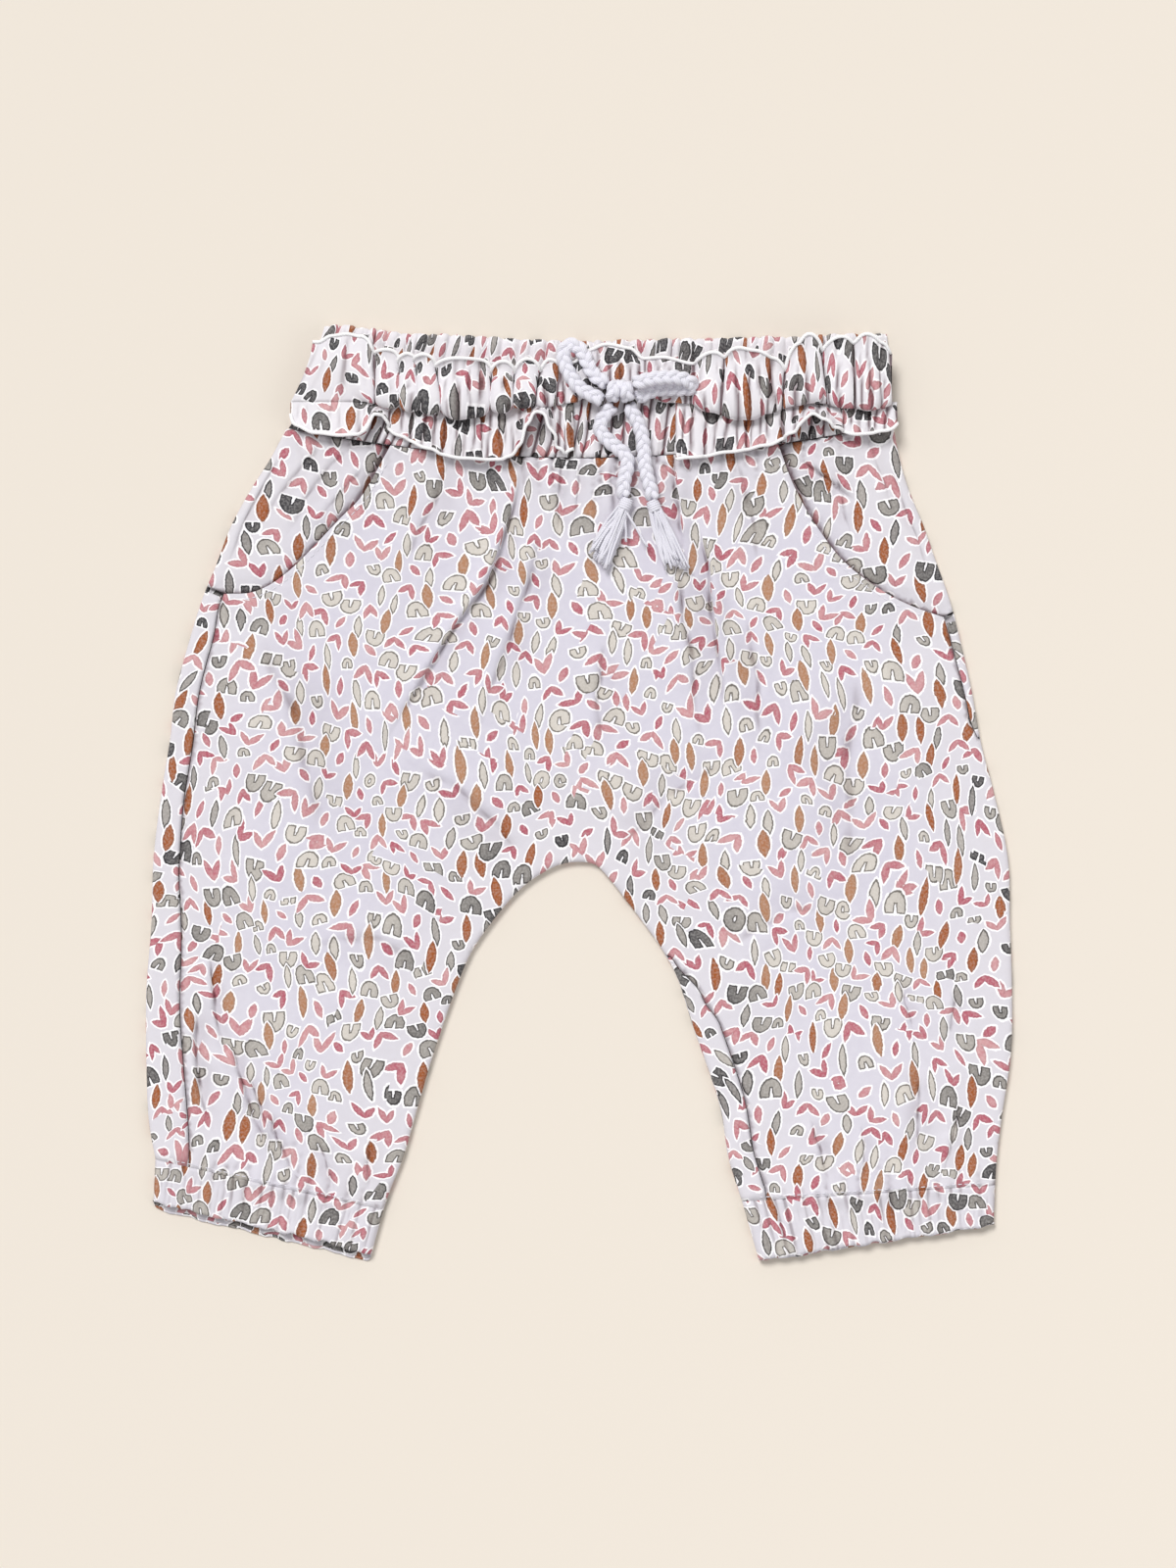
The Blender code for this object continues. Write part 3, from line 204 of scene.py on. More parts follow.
CUFF_ROWS, CUFF_TOP_COLUMNS, CUFF_BOTTOM_COLUMNS = 14, 150, 40

# Drawstring
CORDS = {
    "drawstring_loop_left": (
        (10.2, 158.3, 13.4), (6.2, 160.8, 13.0), (3.4, 165.0, 12.8), (1.6, 169.4, 12.6), (-1.4, 172.6, 12.4),
        (-5.0, 172.6, 12.4), (-6.4, 169.0, 12.5), (-5.2, 164.6, 12.7), (-3.0, 160.2, 12.9), (0.6, 156.0, 13.0),
        (8.2, 151.9, 13.4),
    ),
    "drawstring_loop_right": (
        (21.2, 157.7, 17.2), (27.6, 159.4, 18.2), (35.6, 160.0, 18.2), (41.2, 158.9, 17.0), (43.3, 157.2, 15.0),
        (41.0, 156.0, 12.8), (35.2, 156.2, 12.2), (29.0, 155.8, 12.2), (22.4, 152.8, 12.5),
    ),
    "drawstring_tail_left": (
        (12.2, 149.6, 10.6), (8.6, 144.6, 9.9), (8.0, 140.2, 9.8), (12.0, 135.6, 9.8), (17.2, 131.4, 9.8),
        (18.4, 127.2, 9.8), (17.4, 122.6, 9.7), (16.8, 118.6, 9.5), (17.2, 115.2, 9.2),
    ),
    "drawstring_tail_right": (
        (18.9, 149.6, 10.6), (22.4, 143.4, 9.9), (24.2, 137.6, 9.8), (24.8, 131.4, 9.8), (25.2, 126.6, 9.8),
        (26.2, 121.8, 9.7), (27.4, 117.8, 9.5), (28.2, 114.4, 9.2),
    ),
}
KNOT = ((15.5, 155.2, 13.2), (5.4, 4.8, 5.0))  # centre and half sizes
BRAID_PITCH, BRAID_WIDTH, BRAID_DEPTH, BRAID_STRAND = 11.0, 1.55, 0.85, 1.4
TASSELS = {
    # head's centre, the fan's left and right ends, and the ends of loose strands
    "left": ((17.6, 111.9, 8.9), (3.6, 94.0), (10.6, 86.4), ((18.0, 97.5), (26.0, 95.6))),
    "right": ((28.6, 111.1, 8.9), (32.8, 87.0), (42.2, 87.6), ()),
}
TASSEL_SEEDS = {"left": 5, "right": 6}
STRAND_RADIUS, STRAND_COUNT, STRAND_END_HEIGHT = 0.5, 52, 7.0
THREAD_RADIUS, STITCH_RISE = 0.2, (-0.1, 0.12, 0.16, 0.12, -0.1)

# Print: motifs' mean distance, how far they stray from a grid, the grid's turn, and colours as seen
MOTIF_PITCH, PRINT_SCATTER, PRINT_TURN = 7.9, 0.26, 0.4
HALO_WIDTH, WEAVE_PITCH = 0.5, 0.42
GROUND_WAIST, GROUND_EDGE, GROUND_MIDDLE = (233, 229, 233), (222, 218, 222), (213, 209, 221)
GROUND_PALE, HALO, MOTTLE = (223, 220, 228), (255, 253, 255), (250, 246, 242)
PINK_DEEP, PINK_PALE = (182, 96, 111), (210, 159, 161)
RUST, TAN = (160, 88, 44), (188, 147, 116)
DARK_GREY, WARM_GREY, BEIGE = (72, 70, 73), (134, 129, 127), (212, 205, 196)
LINE_DARK, LINE_PALE = (46, 45, 48), (118, 112, 106)
FOLD_SHADE = (0.24, 0.175, 0.185)  # what is left of the light deep in a crease
LEAST_PALE = 0.12  # how faded the print is at the body's edges, more than at the waist

# Surroundings, in metres: half the floor's side, and how wide the camera's view is on it
FLOOR_HALF, FLOOR_PAPER = 3.0, (232, 223, 211)
LENS, SENSOR, VIEW_WIDTH = 85.0, 36.0, 0.608



def smoothstep(value):
    share = np.clip(value, 0.0, 1.0)
    return share * share * (3 - 2 * share)


def hump(away, width):
    return np.exp(-((away / width) ** 2))


def running(steps):
    """The running total of steps, from 0."""
    return np.concatenate([[0], np.cumsum(steps)])


def walked(line):
    """How far along a line each of its points is."""
    return running(np.linalg.norm(np.diff(line, axis=0), axis=1))


def at_distances(line, along, wanted):
    """Points of a line at wanted distances, where along says how far along each of its points is."""
    return np.stack([np.interp(wanted, along, column) for column in line.T], axis=1)


def curve_through(points, step):
    """Evenly spaced points on a smooth curve through the given ones."""
    knots = np.array(points, float)
    padded = np.vstack([2 * knots[0] - knots[1], knots, 2 * knots[-1] - knots[-2]])
    share = np.linspace(0, 1, CURVE_SAMPLES, endpoint=False)[:, None]
    dense = []
    for before, start, end, after in zip(padded, padded[1:], padded[2:], padded[3:]):
        turn_in, turn_out = (end - before) / 2, (after - start) / 2
        cubic = 2 * start - 2 * end + turn_in + turn_out
        square = -3 * start + 3 * end - 2 * turn_in - turn_out
        dense.append(((cubic * share + square) * share + turn_in) * share + start)
    dense = np.vstack(dense + [knots[-1:]])
    along = walked(dense)
    return at_distances(dense, along, np.linspace(0, along[-1], max(2, round(along[-1] / step)) + 1))


def between(keys, x):
    """Which gap of the sorted keys each x is in, and how far through it."""
    index = np.clip(np.searchsorted(keys, x, side="right") - 1, 0, len(keys) - 2)
    return index, (x - keys[index]) / np.diff(keys)[index]


def rows_at(table, x):
    """A table's other columns at x: each row is a local peak or dip, with an eased way between rows."""
    rows = np.array(sorted(table), float)
    index, share = between(rows[:, 0], np.clip(np.asarray(x, float), rows[0, 0], rows[-1, 0]))
    share = smoothstep(share)[..., None]
    return rows[index, 1:] * (1 - share) + rows[index + 1, 1:] * share


def side_x(y, side):
    dense = curve_through([(row[0], row[COLUMN[side]]) for row in SIDES], 1.0)[::-1]
    return np.interp(y, dense[:, 0], dense[:, 1])


def waist_y(x):
    return WAIST_MIDDLE + WAIST_RISE * (np.asarray(x) / WAIST_HALF) ** 2


def casing_ends(side, line):
    """Outer and inner end of a casing seam or hem, on the silhouette."""
    outer_y, inner_y = CASINGS[side][line]
    inner_x = np.interp(inner_y, *zip(*[(row[0], row[COLUMN[side]]) for row in INNER[::-1]]))
    return np.array([(side_x(outer_y, side), outer_y), (inner_x, inner_y)])


def inward(points):
    """Unit vectors to the left of the way along the points."""
    along = np.gradient(points, axis=0)
    along /= np.linalg.norm(along, axis=1)[:, None]
    return np.stack([-along[:, 1], along[:, 0]], axis=1)


def side_line(side):
    top, low = float(waist_y(WAIST_ENDS[side])), CASINGS[side]["seam"][0]
    ys = [top] + [row[0] for row in SIDES if low + ROW_MARGIN < row[0] < top - ROW_MARGIN] + [low]
    return curve_through([(side_x(y, side), y) for y in ys], EDGE_STEP)


def inner_line():
    left, right = (
        [(row[COLUMN[side]], row[0]) for row in INNER if row[0] > CASINGS[side]["seam"][1] + ROW_MARGIN]
        + [tuple(casing_ends(side, "seam")[1])]
        for side in CASINGS
    )
    return curve_through(left[::-1] + right, EDGE_STEP)


def turn_widths(name):
    """How wide the strip is that the back turns to the front, along a stretch of the silhouette."""
    points = STRETCHES[name]
    widths = rows_at(TURNS[name], points[:, 1])[:, 0]
    there = (points[:, 1] <= TURN_TOPS[name]) & (widths >= LEAST_TURN)
    if name == "inner":
        there &= points[:, 0] > 0
    return np.where(there, widths, 0.0)


def top_seam(name):
    """The line where the front is sewn to a strip that the back turns to the front."""
    line, widths = STRETCHES[name], turn_widths(name)
    index = np.flatnonzero(widths > 0)
    return (line + inward(line) * widths[:, None])[index[0] : index[-1] + 1]


STRETCHES = {"left": side_line("left"), "inner": inner_line(), "right": side_line("right")[::-1]}
TOP_SEAMS = [top_seam(stretch) for stretch in STRETCHES]
POCKET_LINES = {side: curve_through(route, 3.0) for side, route in POCKETS.items()}
WAIST_LEFT, WAIST_RIGHT = STRETCHES["left"][0][0], STRETCHES["right"][-1][0]


def nearest(x, y, line):
    """Distance from points to a line, signed positive on its left, and the share of its length."""
    points = np.stack([np.ravel(x), np.ravel(y)], axis=1)
    steps = np.diff(line, axis=0)
    lengths = np.linalg.norm(steps, axis=1)
    before = running(lengths)
    best, sign, along = np.full(len(points), 1e9), np.zeros(len(points)), np.zeros(len(points))
    for start, step, length, begun in zip(line, steps, lengths, before):
        share = np.clip((points - start) @ step / length**2, 0, 1)
        away = points - (start + share[:, None] * step)
        distance = np.hypot(away[:, 0], away[:, 1])
        closer = distance < best
        best = np.where(closer, distance, best)
        cross = step[0] * away[:, 1] - step[1] * away[:, 0]
        sign = np.where(closer, np.where(cross < 0, -1, 1), sign)
        along = np.where(closer, begun + share * length, along)
    return best * sign, along / before[-1]


def off_lines(x, y, lines):
    """Distance to the nearest of some lines."""
    return np.min([np.abs(nearest(x, y, line)[0]) for line in lines], axis=0)


def off_loop(points, loop):
    return off_lines(*points.T, [np.vstack([loop, loop[:1]])])


def edge_distance(x, y):
    return off_lines(x, y, STRETCHES.values())


def edge_rise(distance):
    inset = EDGE_RADIUS - np.clip(distance, 0, EDGE_RADIUS)
    return np.sqrt(EDGE_RADIUS**2 - inset**2)


def creases(table, x, y):
    """Height of the creases, how far the print slips in them, and the shade painted along their fold lines."""
    height, slip, depth = np.zeros((3, np.size(x)))
    for route, side, width, tall, hidden in table:
        off, along = nearest(x, y, curve_through(route, 4.0))
        off = off * side
        fade = smoothstep(along / 0.2) * smoothstep((1 - along) / 0.5)
        wander = 1 + 0.2 * np.sin(along * 17 + tall * 9)
        lie = off / (width * wander)
        steep = (1 + TROUGH_DEPTH) * hump(lie, STEEP_WIDTH) - TROUGH_DEPTH * hump(lie, TROUGH_WIDTH)
        height += tall * wander * fade * np.where(lie < 0, hump(lie, 1), steep)
        slip += side * hidden * fade * (smoothstep(lie / STEEP_WIDTH) - 0.5) * np.exp(-np.abs(off) / SLIP_REACH)
        # painted shade: a thin, broken dark line on each fold line and a soft darker band in the trough beside
        # it
        broken = 0.62 + 0.38 * np.sin(along * 31 + tall * 5)
        painted_crease_line = broken * hump(lie - CREASE_LINE, 0.16) + 0.17 * hump(lie - 1.3, 0.9)
        depth = np.maximum(depth, min(1.0, tall / 1.5) * fade * painted_crease_line)
    return height, slip, depth


def crease_points(table, loop):
    """Extra points along the creases, so that their steep sides stay sharp."""
    lines = []
    for route, side, width, *_ in table:
        line = curve_through(route, 1.6)
        lines += [line + inward(line) * side * share * width for share in (0.12, 0.34, CREASE_LINE, 0.66, 0.95)]
    points = np.vstack(lines)
    points = points[inside_loop(points, loop)]
    return points[off_loop(points, loop) > 0.8]


def uneven_breaks(random, start, end, count):
    """Where gathers of uneven width start and end."""
    widths = random.uniform(0.5, 1.5, count)
    return start + (end - start) * (running(widths) / widths.sum())


def bulge(share):
    return 1 - np.abs(2 * np.clip(share, 0, 1) - 1) ** 2.3


def gathers(along, start, end, count, seed):
    """Round bulges of uneven width and height, from 0 to 1, with sharp valleys between them."""
    random = np.random.default_rng(seed)
    index, share = between(uneven_breaks(random, start, end, count), along)
    return random.uniform(0.45, 1.0, count)[index] * bulge(share)


def lobed_rows(table, x):
    """rows_at for a ruffle, with its heights, the last column, on steep slopes, and how far those lean over."""
    keys, heights = np.array(table, float)[:, [0, -1]].T
    x = np.clip(x, keys[0], keys[-1])
    index, share = between(keys, x)
    rise = np.diff(heights)[index]
    lobe = np.where(rise >= 0, 1 - (1 - share) ** LOBE_POWER, share**LOBE_POWER)
    return rows_at(table, x)[..., :-1], heights[index] + rise * lobe, -OVERHANG * rise * np.sin(np.pi * share)


def puckers(along, away, start, end, count, height, reach, seed):
    """Uneven folds that start at a seam and die away from it, and the shade painted in their valleys."""
    random = np.random.default_rng(seed)
    breaks = uneven_breaks(random, start, end, count)
    reaches = reach * random.choice([0.3, 0.5, 0.8, 1.3], count) * random.uniform(0.8, 1.2, count)
    index, share = between(breaks, along + 0.05 * away * np.sin(along / 9.0 + seed))
    there = (share >= 0) & (share <= 1) & (away > -3)
    fade = (1 - smoothstep(away / reaches[index])) * there
    beside = np.clip(np.where(share < 0.5, index - 1, index + 1), 0, count - 1)
    shorter = np.minimum(reaches[index], reaches[beside])
    # painted shade in the sharp valleys between the folds
    valley_shade = np.abs(2 * np.clip(share, 0, 1) - 1) ** 6 * (1 - smoothstep(away / shorter)) * there
    folds = random.uniform(0.4, 1.0, count)[index] * bulge(share)
    return height * fade * folds, valley_shade * min(1.0, height)


def waist_puckers(x, y):
    below = waist_y(x) - y
    return np.max([puckers(x, below, *row, 11 + index) for index, row in enumerate(WAIST_PUCKERS)], axis=0)


def hem_puckers(x, y):
    total = np.zeros((2, np.size(x)))
    for side, (count, tall, reach) in HEM_PUCKERS.items():
        outer, inner = casing_ends(side, "seam")
        length = np.linalg.norm(inner - outer)
        way = (inner - outer) / length
        along = (x - outer[0]) * way[0] + (y - outer[1]) * way[1]
        off = np.abs((x - outer[0]) * way[1] - (y - outer[1]) * way[0])
        folds = puckers(along, off, 0, length, count, tall, reach, 40 + count)
        total = np.where((x < 0) == (side == "left"), folds, total)
    return total


def undulation(x, y):
    """Slight unevenness of cloth that was smoothed out by hand."""
    return (
        0.28 * np.sin(x / 17.0 + 1.3 * np.sin(y / 38.0))
        + 0.22 * np.sin(y / 23.0 + 1.1 * np.sin(x / 31.0) + 1.0)
        + 0.13 * np.sin((x + y) / 9.0 + 1.7 * np.sin(y / 15.0))
        + 0.10 * np.sin((x - 1.4 * y) / 7.3 + 1.9 * np.sin(x / 12.0))
    )


def seam_dips(x, y):
    """A shallow groove along the seams on top and the stitched pocket edges."""
    total = np.zeros(np.size(x))
    for line in POCKET_LINES.values():
        off, _ = nearest(x, y, line)
        total += 0.3 * hump(off, 0.9) - 0.3 * hump(np.abs(off) - 2.2, 0.8)
    for line in TOP_SEAMS:
        off, along = nearest(x, y, line)
        total += (0.25 + 0.12 * np.sin(along * 90)) * hump(np.abs(off) - 1.6, 1.0) - 0.45 * hump(off, 0.9)
    return total


def front_surface(x, y):
    """Height of the front's outer face, how far the print slips in creases, and how much shade is painted on it
    in folds and along seams.
    """
    distance = edge_distance(x, y)
    lift = sum(1 - smoothstep(off_lines(x, y, [line]) / POCKET_LIFT_REACH) for line in POCKET_LINES.values())
    folds, slip, depth = creases(FRONT_CREASES, x, y)
    waist, waist_depth = waist_puckers(x, y)
    hem, hem_depth = hem_puckers(x, y)
    details = folds + POCKET_LIFT * lift + waist + hem + seam_dips(x, y)
    details += undulation(x, y) * smoothstep(distance / UNDULATION_INSET)
    seam = off_lines(x, y, TOP_SEAMS)
    # painted shade: in the creases, in the pucker valleys, and as a dark line along the seams on top
    depth = np.max([depth, waist_depth, 0.7 * hem_depth, 0.75 * hump(seam, 0.7)], axis=0)
    puff = PUFF * smoothstep(distance / PUFF_REACH)
    return MID + edge_rise(distance) + puff + smoothstep(distance / (2 * EDGE_RADIUS)) * details, slip, depth


def front_height(x, y):
    return front_surface(x, y)[0]


def inside_loop(points, loop):
    x, y = points.T
    inside = np.zeros(len(points), bool)
    for (x0, y0), (x1, y1) in zip(loop, np.roll(loop, -1, axis=0)):
        if y0 != y1:
            inside ^= ((y0 > y) != (y1 > y)) & (x < (x1 - x0) * (y - y0) / (y1 - y0) + x0)
    return inside


def fill_points(loop, special, step):
    """An even net of points inside a loop, with room left round its edge and the special points."""
    low, high = loop.min(0), loop.max(0)
    net = np.array([
        (x, y)
        for index, y in enumerate(np.arange(low[1], high[1], step * math.sqrt(3) / 2))
        for x in np.arange(low[0] + (index % 2) * step / 2, high[0], step)
    ])
    net = net[inside_loop(net, loop)]
    net = net[off_loop(net, loop) > 0.45 * step]
    for chunk in np.array_split(special, max(1, len(special) // 200)):
        if len(chunk):
            close = ((net > chunk.min(0) - step) & (net < chunk.max(0) + step)).all(1)
            gaps = np.linalg.norm(net[close][:, None] - chunk[None], axis=2)
            keep = np.ones(len(net), bool)
            keep[np.flatnonzero(close)[gaps.min(1) < 0.5 * step]] = False
            net = net[keep]
    return net


def ring_points(loop, step):
    """Points round the turn at the silhouette, where they lie inside the loop."""
    rings = np.vstack([
        (line + inward(line) * inset)[1:-1] for line in STRETCHES.values() for inset in TURN_INSETS
    ])
    rings = rings[inside_loop(rings, loop)]
    return rings[off_loop(rings, loop) > min(0.2, 0.1 * step)]


# ---------------------------------------------------------------- meshes


def placed(name, data):
    thing = bpy.data.objects.new(name, data)
    bpy.context.scene.collection.objects.link(thing)
    return thing


def new_piece(name, vertices, faces, cloth_uv, look, **attributes):
    """A mesh piece from points in millimetres, with the print's place at each point, also in millimetres."""
    mesh = bpy.data.meshes.new(name)
    mesh.from_pydata((np.asarray(vertices) * MM).tolist(), [], [tuple(int(i) for i in face) for face in faces])
    layer = mesh.uv_layers.new(name="cloth")
    corners = np.empty(len(mesh.loops), int)
    mesh.loops.foreach_get("vertex_index", corners)
    layer.data.foreach_set("uv", (np.asarray(cloth_uv)[corners] * MM).astype(np.float32).ravel())
    for label, values in attributes.items():
        mesh.attributes.new(label, "FLOAT", "POINT").data.foreach_set("value", values.astype(np.float32))
    mesh.shade_smooth()
    mesh.materials.append(materials[look])
    piece = placed(name, mesh)
    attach(piece, "root")
    return piece


def new_cloth(name, vertices, faces, cloth_uv, middle, depth):
    """A printed piece with a cloth's thickness under its points."""
    piece = new_piece(name, vertices, faces, cloth_uv, "print", middle=middle, depth=depth)
    wall = piece.modifiers.new("wall", "SOLIDIFY")
    wall.thickness = WALL * MM
    wall.offset = -1.0
    return piece


def paleness(x, y):
    """How pale the print is: faded over the middle of the body and legs, full near the edges and the waist."""
    below = waist_y(x) - y
    from_edge = smoothstep((edge_distance(x, y) - 4) / 48)
    low_legs = 0.35 * smoothstep((-y - 40) / 90)
    least = LEAST_PALE + 0.14 * smoothstep((below - 30) / 60)
    return least + (1 - least) * from_edge * (0.25 + 0.75 * smoothstep(below / 45)) * (1 - low_legs)


def cloth_net(name, loop, special, step, height, faces_up, uv_shift, strips=()):
    """A cloth piece inside a loop, and strips of rows that go on from parts of the loop's edge."""
    net = fill_points(loop, special, step)
    flat = np.vstack([loop] + [part for part in (special, net) if len(part)])
    outline = [list(range(len(loop)))]
    spots, _, triangles, origins, _, _ = delaunay_2d_cdt([Vector(p) for p in flat], [], outline, 1, 1e-7)
    spots = np.array([tuple(p) for p in spots])
    z, slip, depth = height(*spots.T)
    vertices = np.column_stack([spots, z])
    uv = spots + np.column_stack([slip, 0 * slip]) + uv_shift
    faces = [tuple(face) if faces_up else tuple(face[::-1]) for face in triangles]
    place = {origin: index for index, known in enumerate(origins) for origin in known}
    for first, rows, row_uvs in strips:
        under = [place[first + offset] for offset in range(len(rows[0]))]
        for row, row_uv in zip(rows, row_uvs):
            over = list(range(len(vertices), len(vertices) + len(row)))
            vertices = np.vstack([vertices, row])
            uv = np.vstack([uv, row_uv + uv_shift])
            faces += [(a, b, d, c) for a, b, c, d in zip(under, under[1:], over, over[1:])]
            under = over
    depth = np.pad(depth, (0, len(vertices) - len(depth)))
    return new_cloth(name, vertices, faces, uv, paleness(vertices[:, 0], vertices[:, 1]), depth)


def grid_uv(grid, shift):
    """The flat cloth that a grid of points was made from: lengths along its rows and across them."""
    v = running(np.linalg.norm(np.diff(grid, axis=0), axis=2).mean(1))
    u, v = np.meshgrid(running(np.linalg.norm(np.diff(grid, axis=1), axis=2).max(0)), v)
    return np.column_stack([u.ravel(), v.ravel()]) + shift


def ruffle_uv(grid, root, shift):
    """grid_uv for a ruffle whose smooth left end carries the print on over its root row, as seen from above."""
    uv = grid_uv(grid, (0, 0)).reshape(*grid.shape[:2], 2)
    x = grid[root, :, 0]
    u = x[0] + running(np.where(x[1:] < HEADER_SMOOTH, np.diff(x), np.diff(uv[0, :, 0])))
    smooth = smooth_end(x)
    v = (grid[..., 1] - grid[root, :, 1]) * smooth + (uv[..., 1] - uv[root, 0, 1]) * (1 - smooth)
    return np.stack([np.broadcast_to(u, v.shape), v], axis=-1).reshape(-1, 2) + shift


def painted_hollow_shade(grid, share, spread=2):
    """Shade painted where a point on a grid's upper face lies deeper than its neighbours in its row, up to the
    share.
    """
    z = grid[..., 2]
    wide = np.pad(z, ((0, 0), (spread, spread)), mode="edge")
    around = (wide[:, : -2 * spread] + wide[:, 2 * spread :]) / 2
    return share * np.clip((around - z) / 0.4, 0, 1) * (z > 1.2 * MID)


def cloth_grid(name, grid, uv, pale=0.0, hollow_shade_share=1.0, turned=False):
    rows, columns, _ = grid.shape
    corners = np.arange(rows * columns).reshape(rows, columns)
    around = (corners[:-1, :-1], corners[:-1, 1:], corners[1:, 1:], corners[1:, :-1])
    faces = np.stack([corner.ravel() for corner in (around[::-1] if turned else around)], axis=1)
    depth = painted_hollow_shade(grid, hollow_shade_share).ravel()
    return new_cloth(name, grid.reshape(-1, 3), faces, uv, np.full(rows * columns, pale), depth)


# ---------------------------------------------------------------- body and legs


def casing_samples(side):
    outer, inner = casing_ends(side, "seam")
    count = round(np.linalg.norm(inner - outer) / EDGE_STEP)
    points = outer + np.linspace(0, 1, count + 1)[1:-1, None] * (inner - outer)
    return points if side == "left" else points[::-1]


def waist_samples(low, high):
    xs = np.linspace(high, low, max(3, round((high - low) / EDGE_STEP)))
    return np.column_stack([xs, waist_y(xs)])


def on_casing(point, side):
    outer, inner = casing_ends(side, "seam")
    share = (point[0] - outer[0]) / (inner[0] - outer[0])
    return np.array([point[0], outer[1] + share * (inner[1] - outer[1])])


def front_loop():
    parts = []
    for name, line in STRETCHES.items():
        widths = turn_widths(name)
        seam = line + inward(line) * np.where(widths > 0, widths + GAP, 0)[:, None]
        if name != "inner":
            seam = seam[line[:, 1] < TURN_TOPS[name] - 3]
        parts.append(seam)
        if name in NEXT_CASING:
            side = NEXT_CASING[name]
            seam[-1] = on_casing(seam[-1], side)
            hem = casing_samples(side)
            parts.append(hem[hem[:, 0] > seam[-1][0] + 0.6 * EDGE_STEP])
    left_pocket, right_pocket = POCKET_LINES["left"], POCKET_LINES["right"][::-1]
    waist = waist_samples(left_pocket[0][0] + 1, right_pocket[-1][0] - 1)
    return np.vstack(parts + [right_pocket, waist, left_pocket])


def front_panel():
    loop = front_loop()
    special = np.vstack([ring_points(loop, CLOTH_STEP), crease_points(FRONT_CREASES, loop)])
    piece = cloth_net("front", loop, special, CLOTH_STEP, front_surface, True, (0, 0))
    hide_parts("front_panel")


def turned_strip(name):
    """Where a strip that the back turns to the front starts, its rows, and their places in the print."""
    line, widths, normals = STRETCHES[name], turn_widths(name), inward(STRETCHES[name])
    index = np.flatnonzero(widths > 0)
    part = slice(index[0], index[-1] + 1)
    line, widths, normals = line[part], widths[part], normals[part]
    total = len(TURN_INSETS) + STRIP_ROWS
    insets = [np.minimum(inset, widths * (row + 1) / total) for row, inset in enumerate(TURN_INSETS)]
    shares = np.arange(1, STRIP_ROWS + 1) / STRIP_ROWS
    insets += [insets[-1] + share * (widths - insets[-1]) for share in shares]
    rows, row_uvs = [], []
    for inset in insets:
        spots = line + normals * inset[:, None]
        if name in NEXT_CASING:
            spots[-1] = on_casing(spots[-1], NEXT_CASING[name])
        rows.append(np.column_stack([spots, front_height(*spots.T)]))
        row_uvs.append(line - normals * (inset + 2.0)[:, None])
    return index[0], rows, row_uvs


def back_panel():
    def height(x, y):
        return MID - edge_rise(edge_distance(x, y)), np.zeros(np.size(x)), np.zeros(np.size(x))

    loop, strips = [], []
    for name, line in STRETCHES.items():
        first, *rows = turned_strip(name)
        strips.append((len(loop) + first, *rows))
        loop.extend(line)
        if name in NEXT_CASING:
            loop.extend(casing_samples(NEXT_CASING[name]))
    loop = np.array(loop + list(waist_samples(WAIST_LEFT, WAIST_RIGHT)[1:-1]))
    rings = ring_points(loop, UNDERSIDE_STEP)
    piece = cloth_net("back", loop, rings, UNDERSIDE_STEP, height, False, (400, 130), strips)
    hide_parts("back_panel")


def yoke(side):
    sign = -1 if side == "left" else 1
    line = POCKET_LINES[side]
    share = np.linspace(0, 1, len(line))
    under = (YOKE_UNDERLAP + 2 * GAP) * (1 - smoothstep((share - 0.55) / 0.45)) - GAP
    toward_front = inward(line) * -sign
    inner = line + toward_front * under[:, None]
    inner[0] = (inner[0][0], waist_y(inner[0][0]))
    outer = STRETCHES[side][STRETCHES[side][:, 1] > TURN_TOPS[side] + 1.2]
    if side == "left":
        loop = np.vstack([outer, inner[::-1], waist_samples(WAIST_LEFT, inner[0][0])[1:-1]])
    else:
        loop = np.vstack([inner, outer, waist_samples(inner[0][0], WAIST_RIGHT)[1:-1]])

    def surface(x, y):
        distance = edge_distance(x, y)
        off, along = nearest(x, y, line)
        out = smoothstep(sign * off / YOKE_DROP_REACH)
        drop = YOKE_DROP * (1 - out) * smoothstep(distance / EDGE_RADIUS)
        folds, slip, depth = creases(YOKE_CREASES[side], x, y)
        waist, waist_depth = waist_puckers(x, y)
        details = folds + waist + 0.7 * undulation(x, y) * smoothstep(distance / UNDULATION_INSET)
        inside = smoothstep(distance / (2 * EDGE_RADIUS)) * out
        # painted shadow on the yoke along the pocket's edge, wider towards the waist
        wide = 0.8 + 1.5 * (1 - np.clip(along, 0, 1)) ** 1.5
        shadow = 1.6 * hump(np.clip(sign * off, 0, None), wide) * smoothstep(distance / 3)
        depth = np.max([depth, waist_depth, np.minimum(shadow, 1)], axis=0)
        return MID + edge_rise(distance) - drop + inside * details, slip, depth

    beside = [(line - toward_front * offset)[1:-2] for offset in (0.1, 0.7, 1.4, 2.4)]
    special = np.vstack([ring_points(loop, CLOTH_STEP), crease_points(YOKE_CREASES[side], loop)] + beside)
    special = special[inside_loop(special, loop)]
    piece = cloth_net(f"yoke_{side}", loop, special, CLOTH_STEP, surface, True, YOKE_PRINTS[side])
    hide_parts(f"pocket_yoke_{side}")


# ---------------------------------------------------------------- waist


def band_ends(y):
    return side_x(y, "left") + 1.0, side_x(y, "right") - 1.0


